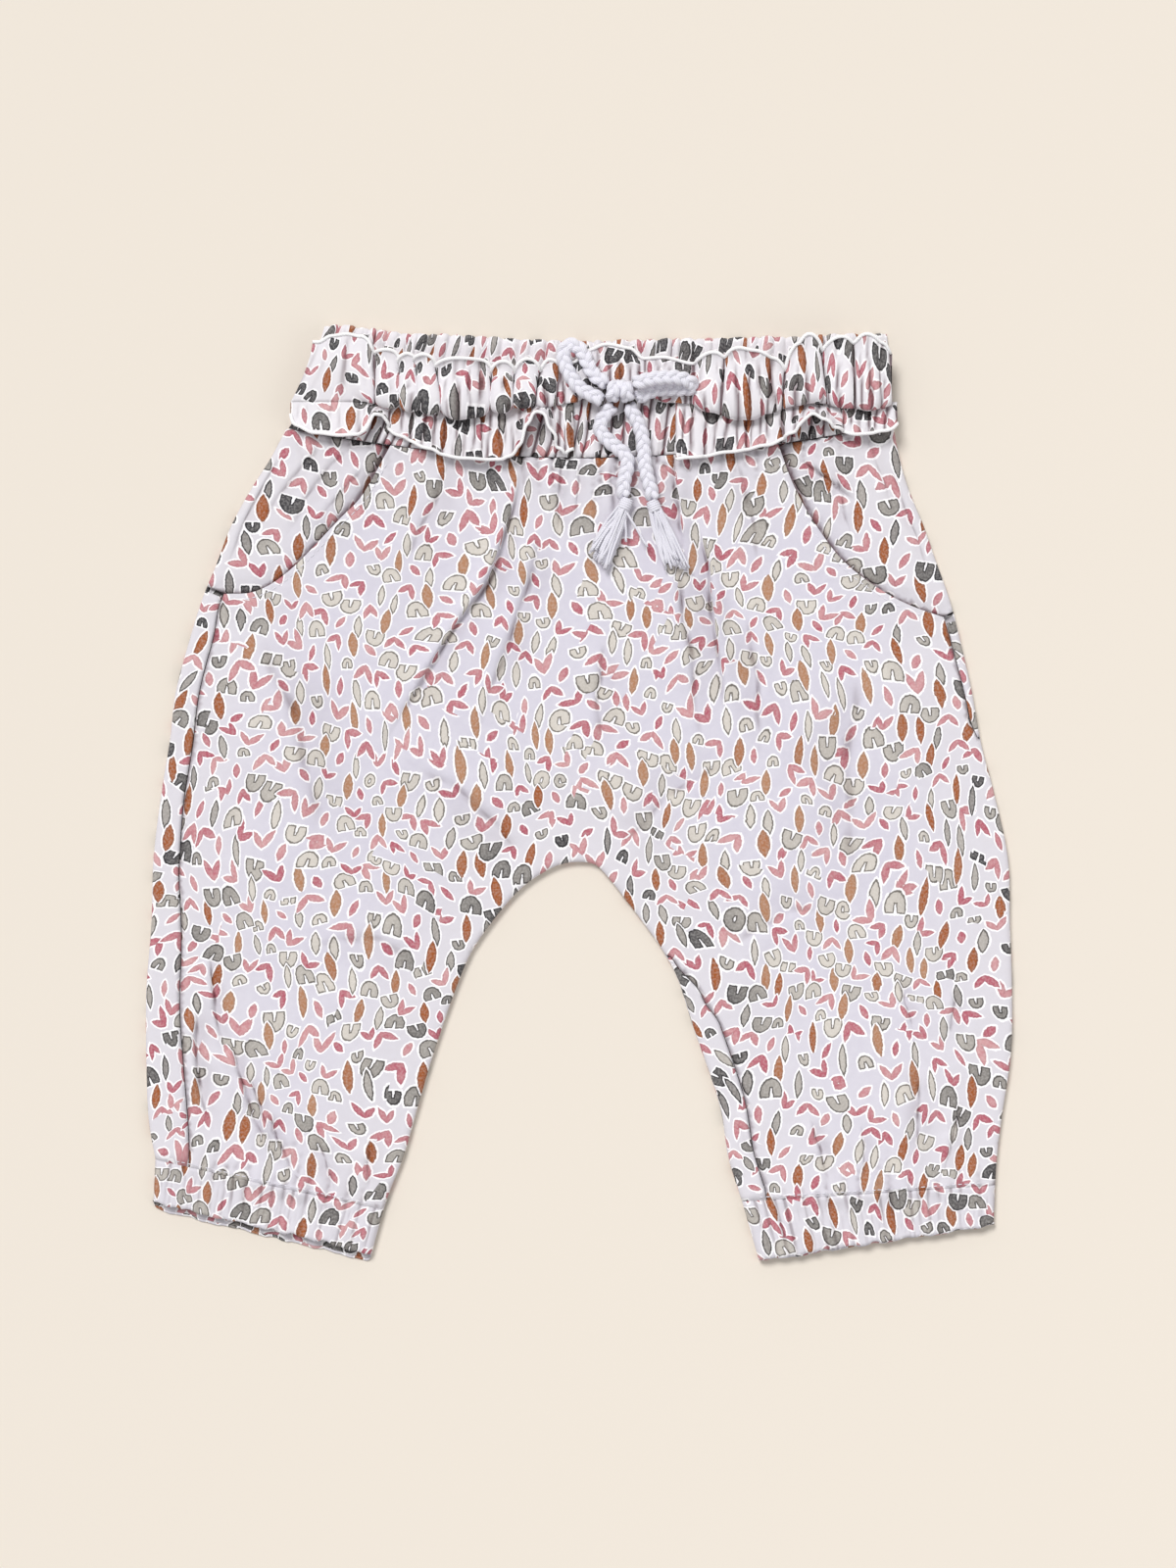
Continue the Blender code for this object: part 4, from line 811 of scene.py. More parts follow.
def band(name, node_name, tops, floor_z, base, tall, count, seed):
    """A gathered casing round elastic: flat underneath, folded over at its top edge, gathered on top."""
    low, high = band_ends(BAND_LOW_Y)
    shares = np.linspace(0, 1, BAND_COLUMNS)
    lengths = shares * (high - low)
    grid = []
    for way, rise in BAND_SECTION + [(share, 1.0) for share in np.linspace(0.96, 0.0, 15)]:
        left, right = band_ends(BAND_LOW_Y + way * BAND_SLANT)
        x = left + shares * (right - left)
        bottom = waist_y(x) + GAP
        y = bottom + way * (rows_at(tops, x)[:, 0] - bottom)
        drift = 1.3 * np.sin(lengths / 23 + 1.6 * way) + 0.7 * np.sin(lengths / 7.1 + 3.4 * way)
        folds = gathers(lengths + drift, 0, high - low, count, seed)
        folds += 0.22 * gathers(lengths + 2 * way, 0, high - low, 3 * count, seed + 1)
        ends = smoothstep(np.minimum(shares, 1 - shares) * (high - low) / 5.0)
        z = floor_z + rise * (base * (0.6 + 0.4 * ends) + tall * folds * ends)
        grid.append(np.column_stack([x, y + 0.9 * (folds - 0.4) * ends * way**5 * (rise > 0), z]))
    grid = np.array(grid)
    piece = cloth_grid(name, grid, grid_uv(grid, (seed * 13.0, seed * 29.0)))
    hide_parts(node_name)


def resampled(keys, count):
    """Points evenly spread on a smooth curve through a section's rows."""
    curve = curve_through(np.array(keys) * SECTION_SCALE, 0.1)
    along = walked(curve)
    return at_distances(curve / SECTION_SCALE, along, np.linspace(0, along[-1], count))


def smooth_end(x):
    """1 in the header's smooth left end, 0 in its gathers."""
    return smoothstep((HEADER_SMOOTH + 3 - x) / 8)


def gather_share(x):
    return 0.2 + 0.8 * smoothstep((x - HEADER_SMOOTH) / 6)


def frill_columns(table):
    return np.arange(table[0][0], table[-1][0] + FRILL_STEP / 2, FRILL_STEP)


def header_frill():
    xs = frill_columns(HEADER_FRILL)
    end, smooth = smooth_end(xs), gather_share(xs)
    grid = []
    for row, (reach_share, way, crest_share) in enumerate(resampled(HEADER_SECTION, FRILL_ROWS)):
        drift = 1.6 * way * np.sin(xs / 13.0) + 0.8 * way * np.sin(xs / 4.7 + 1.0)
        (top, reach), crest, lean = (part.T for part in lobed_rows(HEADER_FRILL, xs + drift))
        root = FRILL_ROOT + np.maximum(-reach, 0)
        small = gathers(xs + 1.5 * way, xs[0], xs[-1], 58, 71) * (1.2 - 0.8 * way) * smooth
        fine = gathers(xs - 2.5 * way, xs[0], xs[-1], 130, 73) * 0.35 * smooth
        raised = np.clip(crest_share, 0, 1.1)
        y = root - reach_share * np.maximum(reach, 0) + way * (top - root)
        z = HEADER_FLOOR + LOBE_GAIN * raised * crest + (small + fine) * min(1, crest_share + 0.1)
        even = row / (FRILL_ROWS - 1)
        y_end = root + even * (top - root)
        z_end = FRILL_FLOOR + 0.8 * even + LOBE_GAIN * crest * math.sin(math.pi * even) + 0.3 * small * even
        flare = HEADER_END_FLARE * smoothstep((HEADER_SMOOTH - xs) / 18) * (1 - even) ** 1.5
        x = xs + lean * raised * (1 - end) - flare
        grid.append(np.column_stack([x, y * (1 - end) + y_end * end, z * (1 - end) + z_end * end]))
    grid = np.array(grid)
    piece = cloth_grid("header_frill_cloth", grid, ruffle_uv(grid, 0, HEADER_PRINT))
    hem = edge_roll("header_hem", grid[-1] + (0, 0.1, 0.25))
    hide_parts("header_frill")


def lower_frill(side):
    xs = frill_columns(LOWER_FRILLS[side])
    smooth, length = gather_share(xs), xs[-1] - xs[0]
    grid = []
    for share in np.linspace(1, 0, FRILL_ROWS):
        drift = 1.2 * (1 - share) * np.sin(xs / 9.0)
        (hem,), rise, lean = (part.T for part in lobed_rows(LOWER_FRILLS[side], xs + drift))
        small = gathers(xs + 1.5 * share, xs[0], xs[-1], round(length / 3.8), 81)
        fine = 0.3 * gathers(xs - 2 * share, xs[0], xs[-1], round(length / 1.9), 83)
        bow = 0.7 * math.sin(math.pi * share)
        bow *= smoothstep((xs - HEADER_SMOOTH + 3) / 8) if side == "left" else 1.0
        folds = ((small * (1.0 - 0.6 * share) + fine) * smooth + bow) * smoothstep(share / 0.3)
        y = FRILL_ROOT + share * (hem - FRILL_ROOT)
        grid.append(np.column_stack([xs + lean * share, y, FRILL_FLOOR + rise * share**1.8 + folds]))
    grid = np.array(grid)
    uv = ruffle_uv(grid, -1, HEADER_PRINT) if side == "left" else grid_uv(grid, (1700, 90))
    piece = cloth_grid(f"frill_{side}", grid, uv)
    hem = edge_roll(f"frill_hem_{side}", grid[0] + (0, -0.1, 0.2))
    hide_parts(f"lower_frill_{side}")


def edge_roll(name, line):
    """The fine rolled hem along a frill's edge."""
    return tube_piece(name, [curve_through(line[::2], 1.2)], HEM_RADIUS, 6, "hem")


# ---------------------------------------------------------------- cuffs


def cuff(side):
    seam, hem = casing_ends(side, "seam"), casing_ends(side, "hem")
    seam_way = seam[1] - seam[0]
    length = np.linalg.norm(seam_way)
    count, tall, _ = HEM_PUCKERS[side]
    angles = np.radians([0, 30, 60])
    turn, lift = EDGE_RADIUS * (1 - np.cos(angles)), EDGE_RADIUS * np.sin(angles)
    flat_top, flat_bottom = np.full(CUFF_TOP_COLUMNS, EDGE_RADIUS), np.full(CUFF_BOTTOM_COLUMNS, -EDGE_RADIUS)
    level = np.concatenate([lift, flat_top, lift[::-1], -lift[1:], flat_bottom, -lift[:0:-1], [0]])
    upper = level > 0.9 * EDGE_RADIUS
    beyond = np.arange(len(level)) > len(turn) + CUFF_TOP_COLUMNS + len(turn) // 2
    grid, uvs = [], []
    for row in range(CUFF_ROWS + 3):
        share, folded = min(1.0, row / CUFF_ROWS), max(0, row - CUFF_ROWS)
        outer, inner = seam + share * (hem - seam)
        ring_length = np.linalg.norm(inner - outer)
        near, far = EDGE_RADIUS, ring_length - EDGE_RADIUS
        top, bottom = np.linspace(near, far, CUFF_TOP_COLUMNS), np.linspace(far, near, CUFF_BOTTOM_COLUMNS)
        back = ring_length - turn
        along = np.concatenate([turn, top, back[::-1], back[1:], bottom, turn[:0:-1], [0]])
        even = along * length / ring_length
        ridges, _ = puckers(even, np.full(len(along), 3.0 * share), 0, length, count, tall, 300, 40 + count)
        ridges *= 0.35 + 0.65 * smoothstep((even - 0.2 * length) / (0.25 * length))
        ridges *= 0.6 + 0.4 * np.sin(even / 6.3 + 4.5 * share + 1.5 * np.sin(even / 17))
        fine = 0.3 * gathers(even + 1.5 * share, 0, length, 3 * count, 90 + count)
        own = MID + level + np.where(upper, (ridges + fine) * (1 - 0.35 * share**4), 0)
        at_seam = front_height(*(seam[0] + (along / ring_length)[:, None] * seam_way).T)
        blend = smoothstep(share / 0.3)
        z = np.where(upper, at_seam * (1 - blend) + own * blend, own)
        spots = outer + along[:, None] * ((inner - outer) / ring_length)
        spots[:, 1] -= CASINGS[side]["back_shows"] * share * np.clip((MID - z) / MID, 0, 1)
        rough = 0.6 * np.sin(even / 2.3 + 2 * np.sin(even / 9)) + 0.35 * np.sin(even / 1.1)
        spots[:, 1] += np.where(upper, 0.9 * ridges * share**3, 0) + 0.6 * rough * share**4
        spots[:, 1] += 0.9 * max(0, folded - 1)
        grid.append(np.column_stack([spots, MID + (z - MID) * (1 - 0.16 * folded)]))
        print_x = seam[0][0] + seam_way[0] * even / length
        print_x = np.where(beyond, 2 * seam[1][0] - print_x, print_x)
        uvs.append(np.column_stack([print_x, spots[:, 1] - 2.0 * folded]))
    piece = cloth_grid(f"cuff_{side}_cloth", np.array(grid), np.vstack(uvs), 0.4, 0.55, turned=side == "left")
    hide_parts(f"cuff_{side}")


# ---------------------------------------------------------------- drawstring


def frames_along(line):
    """Side and upper unit vectors along a line, turning as little as they can."""
    tangent = np.gradient(line, axis=0)
    tangent /= np.linalg.norm(tangent, axis=1)[:, None]
    side = np.cross(tangent, (0, 0, 1.0))
    flat = np.linalg.norm(side, axis=1) < 0.2
    side[flat] = np.cross(tangent[flat], (0, 1.0, 0))
    for index in range(1, len(side)):
        if side[index] @ side[index - 1] < 0:
            side[index] = -side[index]
    side /= np.linalg.norm(side, axis=1)[:, None]
    return side, np.cross(side, tangent)


def tube_piece(name, lines, radius, sides, look):
    """Closed tubes along lines, with their lengths and turns as the print's place."""
    vertices, faces, uvs = [], [], []
    turns = np.linspace(0, 2 * math.pi, sides, endpoint=False)
    for line in lines:
        side, up = frames_along(line)
        ring = np.cos(turns)[None, :, None] * side[:, None] + np.sin(turns)[None, :, None] * up[:, None]
        base, count = len(vertices), len(line)
        vertices += (line[:, None] + ring * radius).reshape(-1, 3).tolist()
        uvs += np.column_stack([np.repeat(walked(line), sides), np.tile(turns * radius, count)]).tolist()
        for low in range(base, base + (count - 1) * sides, sides):
            for step in range(sides):
                following = low + (step + 1) % sides
                faces.append((low + step, low + sides + step, following + sides, following))
        faces.append(tuple(range(base, base + sides)))
        faces.append(tuple(range(base + count * sides - 1, base + (count - 1) * sides - 1, -1)))
    return new_piece(name, vertices, faces, uvs, look)


def braid_lines(route, phase=0.0):
    """Centre lines of a three-strand plait along a route."""
    line = curve_through(route, 0.55)
    side, up = frames_along(line)
    lines = []
    for strand in range(3):
        turn = (2 * math.pi * (walked(line) / BRAID_PITCH + strand / 3) + phase)[:, None]
        lines.append(line + BRAID_WIDTH * np.sin(turn) * side + BRAID_DEPTH * np.sin(2 * turn) * up)
    return lines


def drawstring():
    centre, halves = np.array(KNOT[0]), KNOT[1]
    tall, high = halves[1] - 2.3, halves[2] - 2.4
    wraps = []
    for offset, tilt in ((-2.5, 0.5), (2.4, -0.4)):
        turns = np.linspace(0, 2 * math.pi, 25)
        around = [offset + tilt * np.cos(turns), tall * np.cos(turns), high * np.sin(turns)]
        ring = centre + np.column_stack(around)
        wraps += braid_lines(ring, phase=offset)
    knot = tube_piece("knot_wraps", wraps, BRAID_STRAND * 0.92, 10, "cord")
    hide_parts("bow_knot")
    going_along = {f"drawstring_tail_{side}": tassel(side) for side in TASSELS}
    going_along["drawstring_loop_left"] = [knot]
    for name, route in CORDS.items():
        piece = tube_piece(name + "_plait", braid_lines(route), BRAID_STRAND, 10, "cord")
        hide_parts(name)
        path = curve_through(route, 1.0)


def tassel(side):
    centre, left_end, right_end, loose = (np.array(part) for part in TASSELS[side])
    random = np.random.default_rng(TASSEL_SEEDS[side])
    down = (left_end + right_end) / 2 - centre[:2]
    down /= np.linalg.norm(down)
    across = np.array([-down[1], down[0]])
    across = across if across[0] > 0 else -across
    lines = []
    for index in range(STRAND_COUNT + len(loose)):
        share = random.uniform(0, 1)
        spin, out = random.uniform(0, 2 * math.pi), math.sqrt(random.uniform(0, 1))
        start = centre[:2] + across * (2.4 * out * math.cos(spin) * 0.8 + 1.2 * (share - 0.5)) + down * 1.0
        z0 = centre[2] + 1.9 * out * math.sin(spin)
        end = left_end + share * (right_end - left_end) - down * random.uniform(-0.8, 4.5)
        if index >= STRAND_COUNT:
            end = loose[index - STRAND_COUNT]
        ways = np.linspace(0, 1, 12)
        bulged = across * 0.8 * (share - 0.5) + across * random.normal(0, 0.25)
        plan = start + ways[:, None] * (end - start) + np.sin(np.pi * ways)[:, None] * bulged
        wave = np.sin(ways * random.uniform(9, 14) + random.uniform(0, 6))
        plan += wave[:, None] * across * 0.16 * ways[:, None]
        z1 = STRAND_END_HEIGHT + random.uniform(0, 2.4)
        z = z1 + (z0 - z1) * (1 - ways) ** 1.4 + 0.15 * np.sin(ways * 11 + index)
        lines.append(np.column_stack([plan, z]))
    strands = tube_piece(f"tassel_{side}_strands", lines, STRAND_RADIUS, 5, "cord")
    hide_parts(f"tassel_{side}")
    turns, way = np.linspace(0, 2 * math.pi * 5, 150), np.linspace(-2.2, 2.0, 150)
    wide = np.sqrt(np.clip(1 - (way / 3.6) ** 2, 0, 1)) * 2.2
    plan = centre[:2] + way[:, None] * down + (wide * np.cos(turns))[:, None] * across
    binding = np.column_stack([plan, centre[2] + wide * 0.95 * np.sin(turns)])
    core = np.column_stack([centre[:2] + way[::10, None] * down, np.full(15, centre[2])])
    return [
        strands,
        tube_piece(f"tassel_{side}_binding", [binding], 0.52, 7, "cord"),
        tube_piece(f"tassel_{side}_core", [core], 1.95, 10, "cord"),
    ]


# ---------------------------------------------------------------- stitches


def stitches(name, line, length=1.9, space=0.9):
    """Short thread stitches that lie on the front along a line."""
    dense = curve_through(line, 0.3)
    along = walked(dense)
    starts = np.arange(space, along[-1] - length, length + space)
    spots = at_distances(dense, along, (starts[:, None] + np.linspace(0, length, len(STITCH_RISE))).ravel())
    z = front_height(*spots.T) + np.tile(STITCH_RISE, len(starts))
    tube_piece(name, np.column_stack([spots, z]).reshape(len(starts), -1, 3), THREAD_RADIUS, 5, "thread")


def seam_stitches():
    for side, line in POCKET_LINES.items():
        sign = 1 if side == "left" else -1
        stitches(f"pocket_stitches_{side}", (line + inward(line) * sign * 2.0)[2:-2])
    for side in CASINGS:
        outer, inner = casing_ends(side, "seam")
        way = (inner - outer) / np.linalg.norm(inner - outer)
        line = np.linspace(outer + way * 5, inner - way * 5, 12) + (0, 1.3)
        stitches(f"casing_stitches_{side}", line, length=1.5)


# ---------------------------------------------------------------- materials


def feed(tree, socket, value):
    """Sets an input, or links a value that other nodes work out to it."""
    if isinstance(value, Field):
        value = value.socket
    if isinstance(value, bpy.types.NodeSocket):
        tree.links.new(value, socket)
    else:
        socket.default_value = value


class Field:
    """A value in a node tree that is worked out with ordinary arithmetic."""

    def __init__(self, tree, socket):
        self.tree, self.socket = tree, socket

    def made(self, operation, *others, clamp=False):
        made = self.tree.nodes.new("ShaderNodeMath")
        made.operation = operation
        made.use_clamp = clamp
        for place, value in enumerate((self, *others)):
            feed(self.tree, made.inputs[place], value)
        return Field(self.tree, made.outputs[0])

    __add__ = partialmethod(made, "ADD")
    __sub__ = partialmethod(made, "SUBTRACT")
    __mul__ = partialmethod(made, "MULTIPLY")
    over = partialmethod(made, "DIVIDE")
    size = partialmethod(made, "ABSOLUTE")
    least = partialmethod(made, "MINIMUM")
    most = partialmethod(made, "MAXIMUM")
    above = partialmethod(made, "GREATER_THAN")
    root = partialmethod(made, "SQRT")
    clamped = partialmethod(made, "ADD", 0.0, clamp=True)

    def __neg__(self):
        return self * -1.0

    def inverse(self):
        return -self + 1.0

    def within(self, low, high):
        """1 between two values, else 0."""
        return self.above(low) - self.above(high)

    def ramp(self, low, high):
        """0 below low, 1 above high, and straight between."""
        return ((self - low) * (1.0 / (high - low))).clamped()


class Look:
    """A new material and its nodes."""

    def __init__(self, name):
        self.material = bpy.data.materials.new(name)
        self.material.use_nodes = True
        self.tree = self.material.node_tree
        self.shader = self.tree.nodes["Principled BSDF"]

    def node(self, kind, inputs, **settings):
        made = self.tree.nodes.new("ShaderNode" + kind)
        for name, value in settings.items():
            setattr(made, name, value)
        for name, value in inputs.items():
            feed(self.tree, made.inputs[name], value)
        return made

    def shade(self, inputs):
        for name, value in inputs.items():
            feed(self.tree, self.shader.inputs[name], value)

    def fields(self, made, count):
        return [Field(self.tree, made.outputs[index]) for index in range(count)]

    def vector(self, operation, first, second):
        second = (second,) * 3 if isinstance(second, float) else second
        return self.node("VectorMath", {0: first, 1: second}, operation=operation).outputs[0]

    def rotated(self, vector, angle):
        return self.node("VectorRotate", {"Vector": vector, "Angle": angle}, rotation_type="Z_AXIS").outputs[0]

    def plane(self, vector):
        return self.fields(self.node("SeparateXYZ", {0: vector}), 2)

    def channels(self, colour):
        return self.fields(self.node("SeparateColor", {0: colour}), 3)

    def blend(self, share, low, high):
        """A mix of two colours; a plain one is given as it is seen."""
        low, high = (srgb(*value) if isinstance(value, tuple) else value for value in (low, high))
        return self.node("Mix", {0: share, 6: low, 7: high}, data_type="RGBA").outputs[2]

    def noise(self, vector, scale, detail):
        inputs = {"Vector": vector, "Scale": scale, "Detail": detail}
        return self.node("TexNoise", inputs, noise_dimensions="2D")

    def noise_field(self, vector, scale, detail):
        return self.fields(self.noise(vector, scale, detail), 1)[0]

    def attribute(self, name):
        return Field(self.tree, self.node("Attribute", {}, attribute_name=name).outputs["Fac"])

    def cloth_millimetres(self):
        uv = self.node("UVMap", {}, uv_map="cloth").outputs["UV"]
        return self.vector("MULTIPLY", uv, 1000.0)

    def bump(self, strength, distance, height):
        made = self.node("Bump", {"Strength": strength, "Distance": distance, "Height": height})
        self.shade({"Normal": made.outputs["Normal"]})


def srgb(red, green, blue):
    def linear(value):
        share = value / 255
        return share / 12.92 if share <= 0.04045 else ((share + 0.055) / 1.055) ** 2.4

    return (linear(red), linear(green), linear(blue), 1.0)


def motif(look, cell, place, wobble, wash, pale):
    """One scattered motif: distance from its outline, fill, strength of its rim, how faded it is, and rank."""
    spot = cell.outputs["Position"]
    away = look.rotated(look.vector("SUBTRACT", place, spot), -PRINT_TURN)
    x, y = (part * MOTIF_PITCH for part in look.plane(away))
    rolled, spin, shade = look.channels(cell.outputs["Color"])
    column, line = (part.made("FLOOR") for part in look.plane(spot))
    kind = ((column + line * 2.0) * 0.2 + rolled * 0.22).made("FRACT")
    more = look.node("TexWhiteNoise", {"Vector": spot}, noise_dimensions="2D")
    flip, size, thick = look.channels(more.outputs["Color"])

    is_pair = kind.within(-1.0, 0.30)
    is_rust = kind.within(0.30, 0.42)
    is_bud = kind.within(0.42, 0.58)
    is_beige = kind.within(0.58, 0.68)
    is_cup = kind.above(0.68)

    turn = (spin - 0.5) * (is_pair * 1.7 + is_cup * 1.1 + is_bud * 1.9 + is_rust * 0.25 + is_beige * 0.3)
    turn = turn + flip.above(0.45) * math.pi * (is_pair + is_cup)
    cosine, sine = turn.made("COSINE"), turn.made("SINE")
    px, py = x * cosine + y * sine, y * cosine - x * sine

    # a leaf pair is one leaf beside the mirror line, seen on both sides of it
    grown = size * 0.3 + 0.83
    lean = (thick - 0.5) * 0.35 + 0.62
    lean_cos, lean_sin = lean.made("COSINE"), lean.made("SINE")
    uneven = px.above(0.0) * (shade - 0.5) * 0.45 + 1.0
    qx, qy = px.size(), py + grown * 2.5
    leaf_x = qx * lean_cos - qy * lean_sin
    leaf_y = qx * lean_sin + qy * lean_cos - grown * uneven * 2.7
    lone = is_rust + is_bud + is_beige
    sx = leaf_x * is_pair + px * lone
    sy = leaf_y * is_pair + py * lone
    half_length = grown * uneven * 3.65 * is_pair + is_cup
    half_length = half_length + (is_rust * 5.6 + is_beige * 5.0 + is_bud * 3.1) * (size * 0.2 + 0.9)
    half_width = grown * (uneven * 0.5 + 0.76) * is_pair + is_cup
    half_width = half_width + (is_rust * 1.8 + is_beige * 1.6 + is_bud * 1.3) * (thick * 0.3 + 0.85)
    bow = (half_length * half_length + half_width * half_width).over(half_width * 2.0)
    arm = sx.size() + bow - half_width
    leaf = (arm * arm + sy * sy).root() - bow

    cup_size = size.above(0.4) * 1.25 + 2.3 + thick * 0.4
    round_part = (px * px + py * py * (shade * 0.35 + 0.45)).root() - cup_size
    tilted_top = py + px * (spin - 0.5) * 0.5 - cup_size * 0.5
    notch = px.size() - (py + cup_size * 0.5) * 0.13 - 0.05
    notch = notch.most(-(py + cup_size * 0.3))
    cup = round_part.most(tilted_top).most(-notch)

    shape = leaf * is_cup.inverse() + cup * is_cup + wobble
    faded = (pale * 1.2 + (shade - 0.6) * 0.7).clamped()
    pink = look.blend((shade * 0.9 + wash - 0.5).clamped(), PINK_DEEP, PINK_PALE)
    colour = look.blend(is_pair + is_bud, look.blend(faded, DARK_GREY, BEIGE), pink)
    colour = look.blend(is_rust, colour, look.blend((faded * 1.3 - 0.65).clamped(), RUST, TAN))
    colour = look.blend(is_beige, colour, look.blend(faded, WARM_GREY, BEIGE))
    rim = (is_cup + is_beige) * 0.95 + is_rust * 0.3 + (is_pair + is_bud) * 0.16
    return shape, colour, rim, faded, rolled


def print_material():
    """White-haloed leaf pairs, single leaves and notched cups, scattered on a pale lilac ground."""
    look = Look("cotton_print")
    cloth_place = look.cloth_millimetres()
    bend = look.vector("SUBTRACT", look.noise(cloth_place, 0.022, 0.0).outputs["Color"], 0.5)
    bent = look.vector("ADD", cloth_place, look.vector("MULTIPLY", bend, 12.0))
    place = look.vector("MULTIPLY", look.rotated(bent, PRINT_TURN), 1 / MOTIF_PITCH)
    wobble = (look.noise_field(cloth_place, 0.8, 1.0) - 0.5) * 0.5
    wash = look.noise_field(cloth_place, 0.3, 2.0)
    pale = look.attribute("middle")
    cells = {"Vector": place, "Scale": 1.0, "Randomness": PRINT_SCATTER}
    nearest_cells = [
        look.node("TexVoronoi", cells, voronoi_dimensions="2D", feature=feature) for feature in ("F1", "F2")
    ]
    near, far = (motif(look, cell, place, wobble, wash, pale) for cell in nearest_cells)
    # where two meet, the one of higher rank lies whole over the other, with its halo round it
    near_first = (near[4] - far[4]).above(0.0)
    far_first = near_first.inverse()
    upper = near[0] * near_first + far[0] * far_first
    lower = near[0] * far_first + far[0] * near_first
    is_lower = upper.above(HALO_WIDTH * 0.8)
    shape = upper * is_lower.inverse() + lower.most(-upper + HALO_WIDTH) * is_lower
    use_far = (near_first - is_lower.inverse()).size()
    rim_share, faded = (near[part] * use_far.inverse() + far[part] * use_far for part in (2, 3))
    colour = look.blend(use_far, near[1], far[1])
    mottled = (look.noise_field(cloth_place, 1.1, 2.0) - 0.5) * 0.5
    colour = look.blend((mottled + 0.06).clamped(), colour, MOTTLE)
    rim = (shape + 0.25).size().ramp(0.12, 0.34).inverse() * rim_share
    colour = look.blend(rim, colour, look.blend(faded, LINE_DARK, LINE_PALE))
    ground = look.blend(pale, GROUND_EDGE, GROUND_MIDDLE)
    ground = look.blend(pale.ramp(0.0, LEAST_PALE), GROUND_WAIST, ground)
    ground = look.blend(wash.ramp(0.35, 0.75) * 0.35, ground, GROUND_PALE)
    ground = look.blend((-upper.least(lower)).ramp(-0.7, -0.48) * 0.95, ground, HALO)
    cloth = look.blend((-shape).ramp(-0.08, 0.08), ground, colour)
    # painted shade: the colour is darkened towards FOLD_SHADE by the mesh attribute that marks where shade is
    # painted in folds, hollows and seam gaps
    shaded = look.vector("MULTIPLY", cloth, FOLD_SHADE)
    look.shade({
        "Base Color": look.blend(look.attribute("depth"), cloth, shaded),
        "Roughness": 0.85, "Specular IOR Level": 0.2, "Sheen Weight": 0.08, "Sheen Roughness": 0.5,
    })
    u, v = (part * (2 * math.pi / WEAVE_PITCH) for part in look.plane(cloth_place))
    weave = u.made("SINE") * v.made("SINE")
    look.bump(0.25, 0.001, weave * 0.06 + look.noise_field(cloth_place, 0.16, 3.0) * 1.1)
    return look.material


def plain_cotton(name, colour, pitch, strength):
    """White cotton with fine slanting yarns."""
    look = Look(name)
    u, v = look.plane(look.cloth_millimetres())
    yarn = ((u + v * 0.9) * (2 * math.pi / pitch)).made("SINE")
    bright = srgb(*colour)
    darker = [0.9 * channel for channel in bright[:3]] + [1.0]
    look.shade({
        "Base Color": look.blend(yarn.ramp(-1.0, 0.2), darker, list(bright)),
        "Roughness": 0.8, "Specular IOR Level": 0.2, "Sheen Weight": 0.25,
    })
    look.bump(strength, 0.0004, yarn)
    return look.material


# ---------------------------------------------------------------- surroundings


def floor():
    mesh = bpy.data.meshes.new("floor")
    corners = [(-FLOOR_HALF, -FLOOR_HALF, 0), (FLOOR_HALF, -FLOOR_HALF, 0), (FLOOR_HALF, FLOOR_HALF, 0)]
    mesh.from_pydata(corners + [(-FLOOR_HALF, FLOOR_HALF, 0)], [], [(0, 1, 2, 3)])
    look = Look("floor_paper")
    look.shade({"Base Color": srgb(*FLOOR_PAPER), "Roughness": 0.95, "Specular IOR Level": 0.05})
    mesh.materials.append(look.material)
    plane = placed("floor", mesh)
    plane.location.z = -0.0004


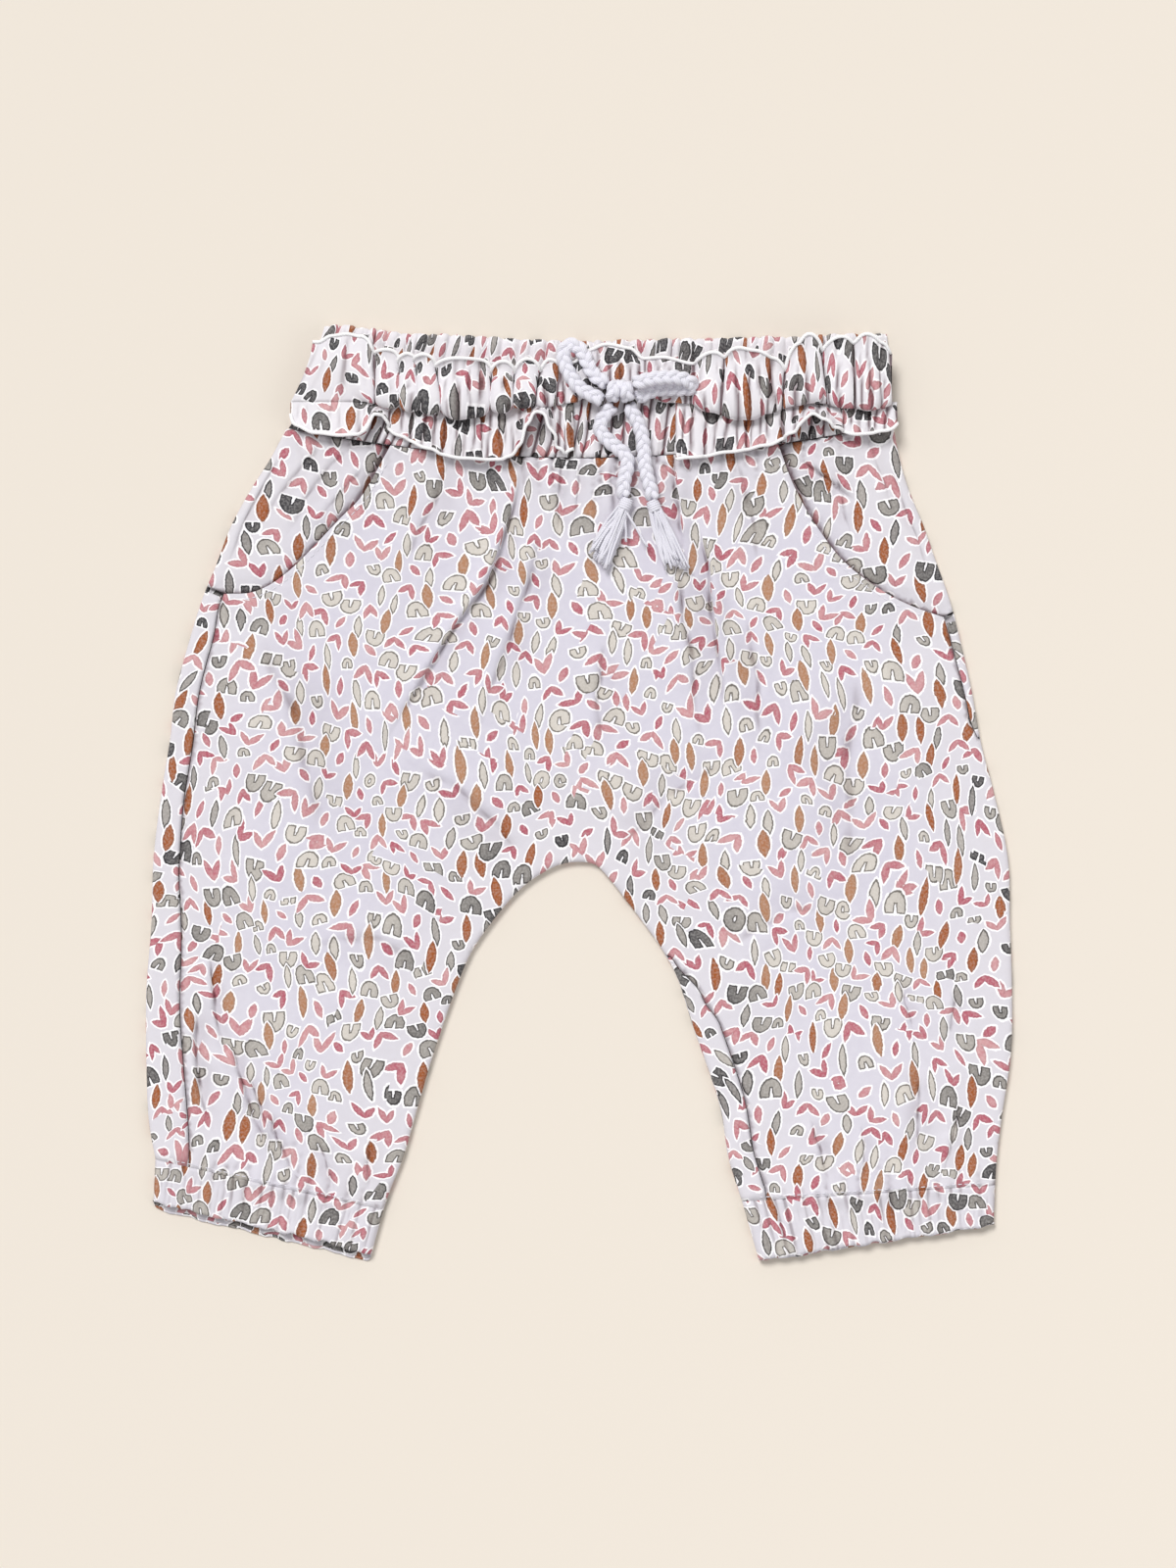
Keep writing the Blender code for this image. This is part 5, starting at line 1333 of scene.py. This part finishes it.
def lamp(name, kind, energy, direction, **settings):
    light = bpy.data.lights.new(name, kind)
    light.energy = energy
    for setting, value in settings.items():
        setattr(light, setting, value)
    made = placed(name, light)
    made.rotation_euler = Vector(direction).to_track_quat("-Z", "Y").to_euler()
    return made


def studio():
    lamp("key", "SUN", 2.13, (0.55, -1.0, -1.6), angle=math.radians(22))
    fill = lamp("fill", "AREA", 6, (-1.9, 0.8, -1.6), shape="DISK", size=1.6)
    fill.location = (1.9, -0.8, 1.6)
    world = bpy.data.worlds.new("studio")
    world.use_nodes = True
    world.node_tree.nodes["Background"].inputs["Color"].default_value = (1, 1, 1, 1)
    world.node_tree.nodes["Background"].inputs["Strength"].default_value = 0.5
    bpy.context.scene.world = world
    bpy.context.scene.view_settings.view_transform = "Standard"


def camera():
    data = bpy.data.cameras.new("camera")
    data.lens, data.sensor_width = LENS, SENSOR
    view = placed("camera", data)
    view.location = (0.0032, 0.0042, VIEW_WIDTH * LENS / SENSOR)
    bpy.context.scene.camera = view


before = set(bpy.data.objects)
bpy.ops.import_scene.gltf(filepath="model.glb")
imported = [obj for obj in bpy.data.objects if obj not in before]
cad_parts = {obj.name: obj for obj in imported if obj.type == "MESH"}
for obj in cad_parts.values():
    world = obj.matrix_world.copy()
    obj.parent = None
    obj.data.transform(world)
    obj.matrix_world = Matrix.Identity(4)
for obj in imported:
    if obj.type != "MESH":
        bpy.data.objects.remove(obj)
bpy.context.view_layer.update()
camera()
materials = {
    "print": print_material(),
    "cord": plain_cotton("braided_cotton", (240, 238, 247), 0.9, 0.35),
    "hem": plain_cotton("rolled_hem", (255, 254, 255), 1.1, 0.2),
    "thread": plain_cotton("thread", (240, 238, 246), 0.5, 0.3),
}
drawstring()
front_panel()
back_panel()
for yoke_side in POCKETS:
    yoke(yoke_side)
band("waistband_back_cloth", "waistband_back", BACK_BAND_TOPS, 0.0, 0.9, 2.5, 44, 3)
band("waistband_front_cloth", "waistband_front", FRONT_BAND_TOPS, 3.3, 0.8, 2.3, 46, 5)
header_frill()
for frill_side in LOWER_FRILLS:
    lower_frill(frill_side)
for cuff_side in CASINGS:
    cuff(cuff_side)
seam_stitches()
floor()
studio()
